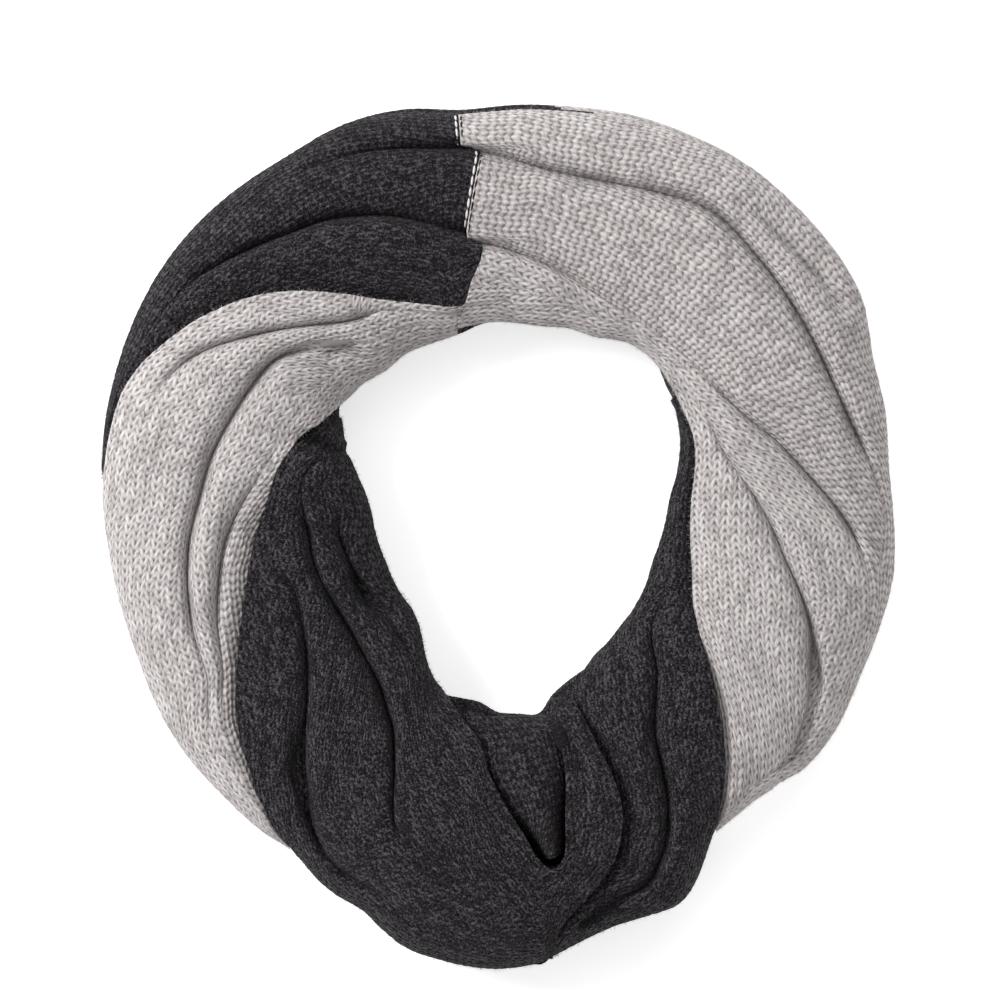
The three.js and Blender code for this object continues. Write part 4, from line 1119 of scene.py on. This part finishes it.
class ScarfSizes(bpy.types.PropertyGroup):
    """Sizes and colours of the scarf's cloth."""

    wale: cloth_size("Wale width", "Width of one column of stitches", 4.4)
    course: cloth_size("Course height", "Height of one row of stitches", 3.4)
    relief: cloth_size("Stitch relief", "How far a stitch stands above its grooves", 0.5)
    light_yarn: yarn_colour("Light yarn", "Main colour of the light yarn", "#D0CAC9")
    light_fleck: yarn_colour("Light flecks", "Darkest fibres of the light yarn", "#857E7E")
    light_pale: yarn_colour("Light palest", "Palest fibres of the light yarn", "#EEE9E7")
    # Painted shade: colour of the shaded grooves between the light stitches
    light_groove_shade: yarn_colour("Light grooves", "Light yarn between the stitches", "#6B6463")
    dark_yarn: yarn_colour("Charcoal yarn", "Main colour of the charcoal yarn", "#292529")
    dark_fleck: yarn_colour("Charcoal darkest", "Darkest fibres of the charcoal yarn", "#0C0A0D")
    dark_pale: yarn_colour("Charcoal flecks", "Palest fibres of the charcoal yarn", "#5F5A5F")
    # Painted shade: colour of the shaded grooves between the charcoal stitches, and the darkest tone of the
    # loose charcoal yarn
    dark_groove_shade: yarn_colour("Charcoal grooves", "Charcoal yarn between the stitches", "#0B0A0C")


def knit_material(kind):
    """The light or the charcoal knit, made once."""
    scarf = bpy.context.scene.scarf
    name, look = KNITS[kind]
    # The last of these colours is the painted groove shade
    colours = [getattr(scarf, f"{kind}_{part}") for part in ("yarn", "fleck", "pale", "groove_shade")]
    return bpy.data.materials.get(name) or heather_knit(name, colours, look, scarf)


# Stretches: section rows, points across each roll, strips of stitches, spacing along in mm, ends
# that run in under a neighbour (first, last), and whether it meets the joining seam. A strip has
# its first and last crease, the crease that its columns are counted from, and its purl side.
LIGHT_STRETCHES = {
    "front_light": (front_light_rows, (32, 52, 34, 50),
                    ((0, 1, 1, PURL_FRONT), (1, 2, 2, PURL_FRONT), (2, 3, 2, 0), (3, 4, 4, 0)),
                    0.9, (1, 0), True),
    "back_light": (back_light_rows, (22, 42, 24, 22),
                   ((0, 2, 2, 0), (2, 3, 2, 0), (3, 4, 3, PURL_BACK)), 0.85, (0, 1), True),
}
DARK_STRETCHES = {
    "front_dark": (front_dark_rows, (30, 40, 48), ((0, 2, 1, 1), (2, 3, 2, 0)), 0.85, (0, 1), True),
    "lower_dark": (lower_dark_rows, (42, 40, 36, 36),
                   ((0, 2, 1, 0), (2, 3, 3, 0), (3, 4, 3, PURL_LOWER)), 0.85, (1, 0), False),
    "right_dark": (right_dark_rows, (66, 66), ((0, 1, 1, 0), (1, 2, 1, 0)), 0.85, (0, 1), False),
    "knot_tongue": (tongue_rows, (54,), ((0, 1, 0, 1),), 0.8, (0, 0), False),
}


def place_stretches(stretches, kind):
    """Makes each stretch in place of its CAD node and keeps how its cloth is cut."""
    for node, (rows, *form) in stretches.items():
        piece, flat, area = knit_band(node + "_knit", rows(), *form, knit_material(kind))
        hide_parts(node)
        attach(piece, "root")
        CUTS.append((piece, flat, min(area, flat[0] * flat[1])))


class SCARF_OT_light_stretches(bpy.types.Operator):
    """Makes the front and the back light stretch"""

    bl_idname = "scarf.light_stretches"
    bl_label = "Light stretches"

    def execute(self, context):
        place_stretches(LIGHT_STRETCHES, "light")
        return {"FINISHED"}


class SCARF_OT_dark_stretches(bpy.types.Operator):
    """Makes the front, lower and right dark stretch and the tongue"""

    bl_idname = "scarf.dark_stretches"
    bl_label = "Charcoal stretches"

    def execute(self, context):
        place_stretches(DARK_STRETCHES, "dark")
        return {"FINISHED"}


class SCARF_OT_hidden_layers(bpy.types.Operator):
    """Makes the lower layers, whose folded edges show at the rim and in the hole"""

    bl_idname = "scarf.hidden_layers"
    bl_label = "Hidden layers"

    def execute(self, context):
        if not INNER_WALLS:
            raise RuntimeError("The stretches come before the layers under them")
        ceilings = hide_layers_ceiling(np.concatenate(INNER_WALLS))
        piece = hidden_band(context.scene.scarf, ceilings,
                            [knit_material("dark"), knit_material("light")])
        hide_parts("hidden_layers")
        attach(piece, "root")
        return {"FINISHED"}


class SCARF_OT_loose_yarn(bpy.types.Operator):
    """Makes the seam's stitches and the loose fibres"""

    bl_idname = "scarf.loose_yarn"
    bl_label = "Seam stitches and fibres"

    def execute(self, context):
        if not CUTS:
            raise RuntimeError("The stretches come before their loose yarn")
        scarf = context.scene.scarf
        light = heather_yarn("light_heather_yarn", scarf.light_yarn, scarf.light_pale)
        # The loose charcoal yarn takes the charcoal groove-shade colour as its darkest tone
        dark = heather_yarn("charcoal_heather_yarn", scarf.dark_groove_shade, scarf.dark_yarn)
        on_cloth = {
            "front_dark_knit": [
                seam_stitches(*LIGHT_SEAM, light),
                loose_fibres("loose_fibres_dark", list(DARK_STRETCHES), FIBRES[1], dark, 5)],
            "front_light_knit": [
                seam_stitches(*DARK_SEAM, dark),
                loose_fibres("loose_fibres_light", list(LIGHT_STRETCHES), FIBRES[0], light, 3)],
            "lower_dark_knit": ["hidden_layers_cloth"],
        }
        return {"FINISHED"}


class SCARF_OT_stage(bpy.types.Operator):
    """Makes the pale floor, the soft lights and the camera straight above"""

    bl_idname = "scarf.stage"
    bl_label = "Stage"

    def execute(self, context):
        scene = context.scene
        bpy.ops.object.select_all(action="DESELECT")
        bpy.ops.mesh.primitive_plane_add(size=6, location=(0, 0, -0.0004))
        floor = context.object
        floor.name = "floor"
        paper = bpy.data.materials.new("matt_white_paper")
        paper.use_nodes = True
        sockets = paper.node_tree.nodes["Principled BSDF"].inputs
        for name, value in (("Base Color", hex_linear("#F4F4F4")), ("Roughness", 0.9),
                            ("Emission Color", hex_linear("#FFFFFF")), ("Emission Strength", 0.6)):
            sockets[name].default_value = value
        floor.data.materials.append(paper)
        world = bpy.data.worlds.new("soft_room")
        world.use_nodes = True
        world.node_tree.nodes["Background"].inputs[0].default_value = (1, 1, 1, 1)
        world.node_tree.nodes["Background"].inputs[1].default_value = 0.5
        scene.world = world
        for name, place, size, power in LIGHTS:
            bpy.ops.object.light_add(type="AREA", location=place)
            lamp = context.object
            lamp.name = name
            lamp.data.shape = "SQUARE"
            lamp.data.size = size
            lamp.data.energy = power
            aim = Vector((0, 0, 0.03)) - Vector(place)
            lamp.rotation_euler = aim.to_track_quat("-Z", "Y").to_euler()
        bpy.ops.object.camera_add(location=(VIEW[0] * MM, VIEW[1] * MM, VIEW_HEIGHT))
        camera = context.object
        camera.rotation_euler = (0, 0, 0)
        camera.data.sensor_width = 36
        camera.data.lens = 36 * (VIEW_HEIGHT - RIM_HEIGHT * MM) / VIEW_WIDTH
        camera.data.clip_end = 20
        scene.camera = camera
        scene.view_settings.view_transform = "Standard"
        return {"FINISHED"}


class SCARF_PT_panel(bpy.types.Panel):
    """Buttons that make each part of the scarf"""

    bl_idname = "SCARF_PT_panel"
    bl_label = "Infinity scarf"
    bl_space_type = "VIEW_3D"
    bl_region_type = "UI"
    bl_category = "Scarf"

    def draw(self, context):
        for prop in ScarfSizes.__annotations__:
            self.layout.prop(context.scene.scarf, prop)
        for operator in OPERATORS:
            self.layout.operator(operator.bl_idname)


OPERATORS = (SCARF_OT_light_stretches, SCARF_OT_dark_stretches, SCARF_OT_hidden_layers,
             SCARF_OT_loose_yarn, SCARF_OT_stage)
CLASSES = (ScarfSizes, *OPERATORS, SCARF_PT_panel)


def register():
    for item in CLASSES:
        bpy.utils.register_class(item)
    bpy.types.Scene.scarf = PointerProperty(type=ScarfSizes)


def unregister():
    del bpy.types.Scene.scarf
    for item in reversed(CLASSES):
        bpy.utils.unregister_class(item)


def main():
    """Makes the whole scarf and its stage."""
    register()
    for operator in OPERATORS:
        getattr(bpy.ops.scarf, operator.bl_idname.split(".")[1])()


if __name__ == "__main__":
    main()
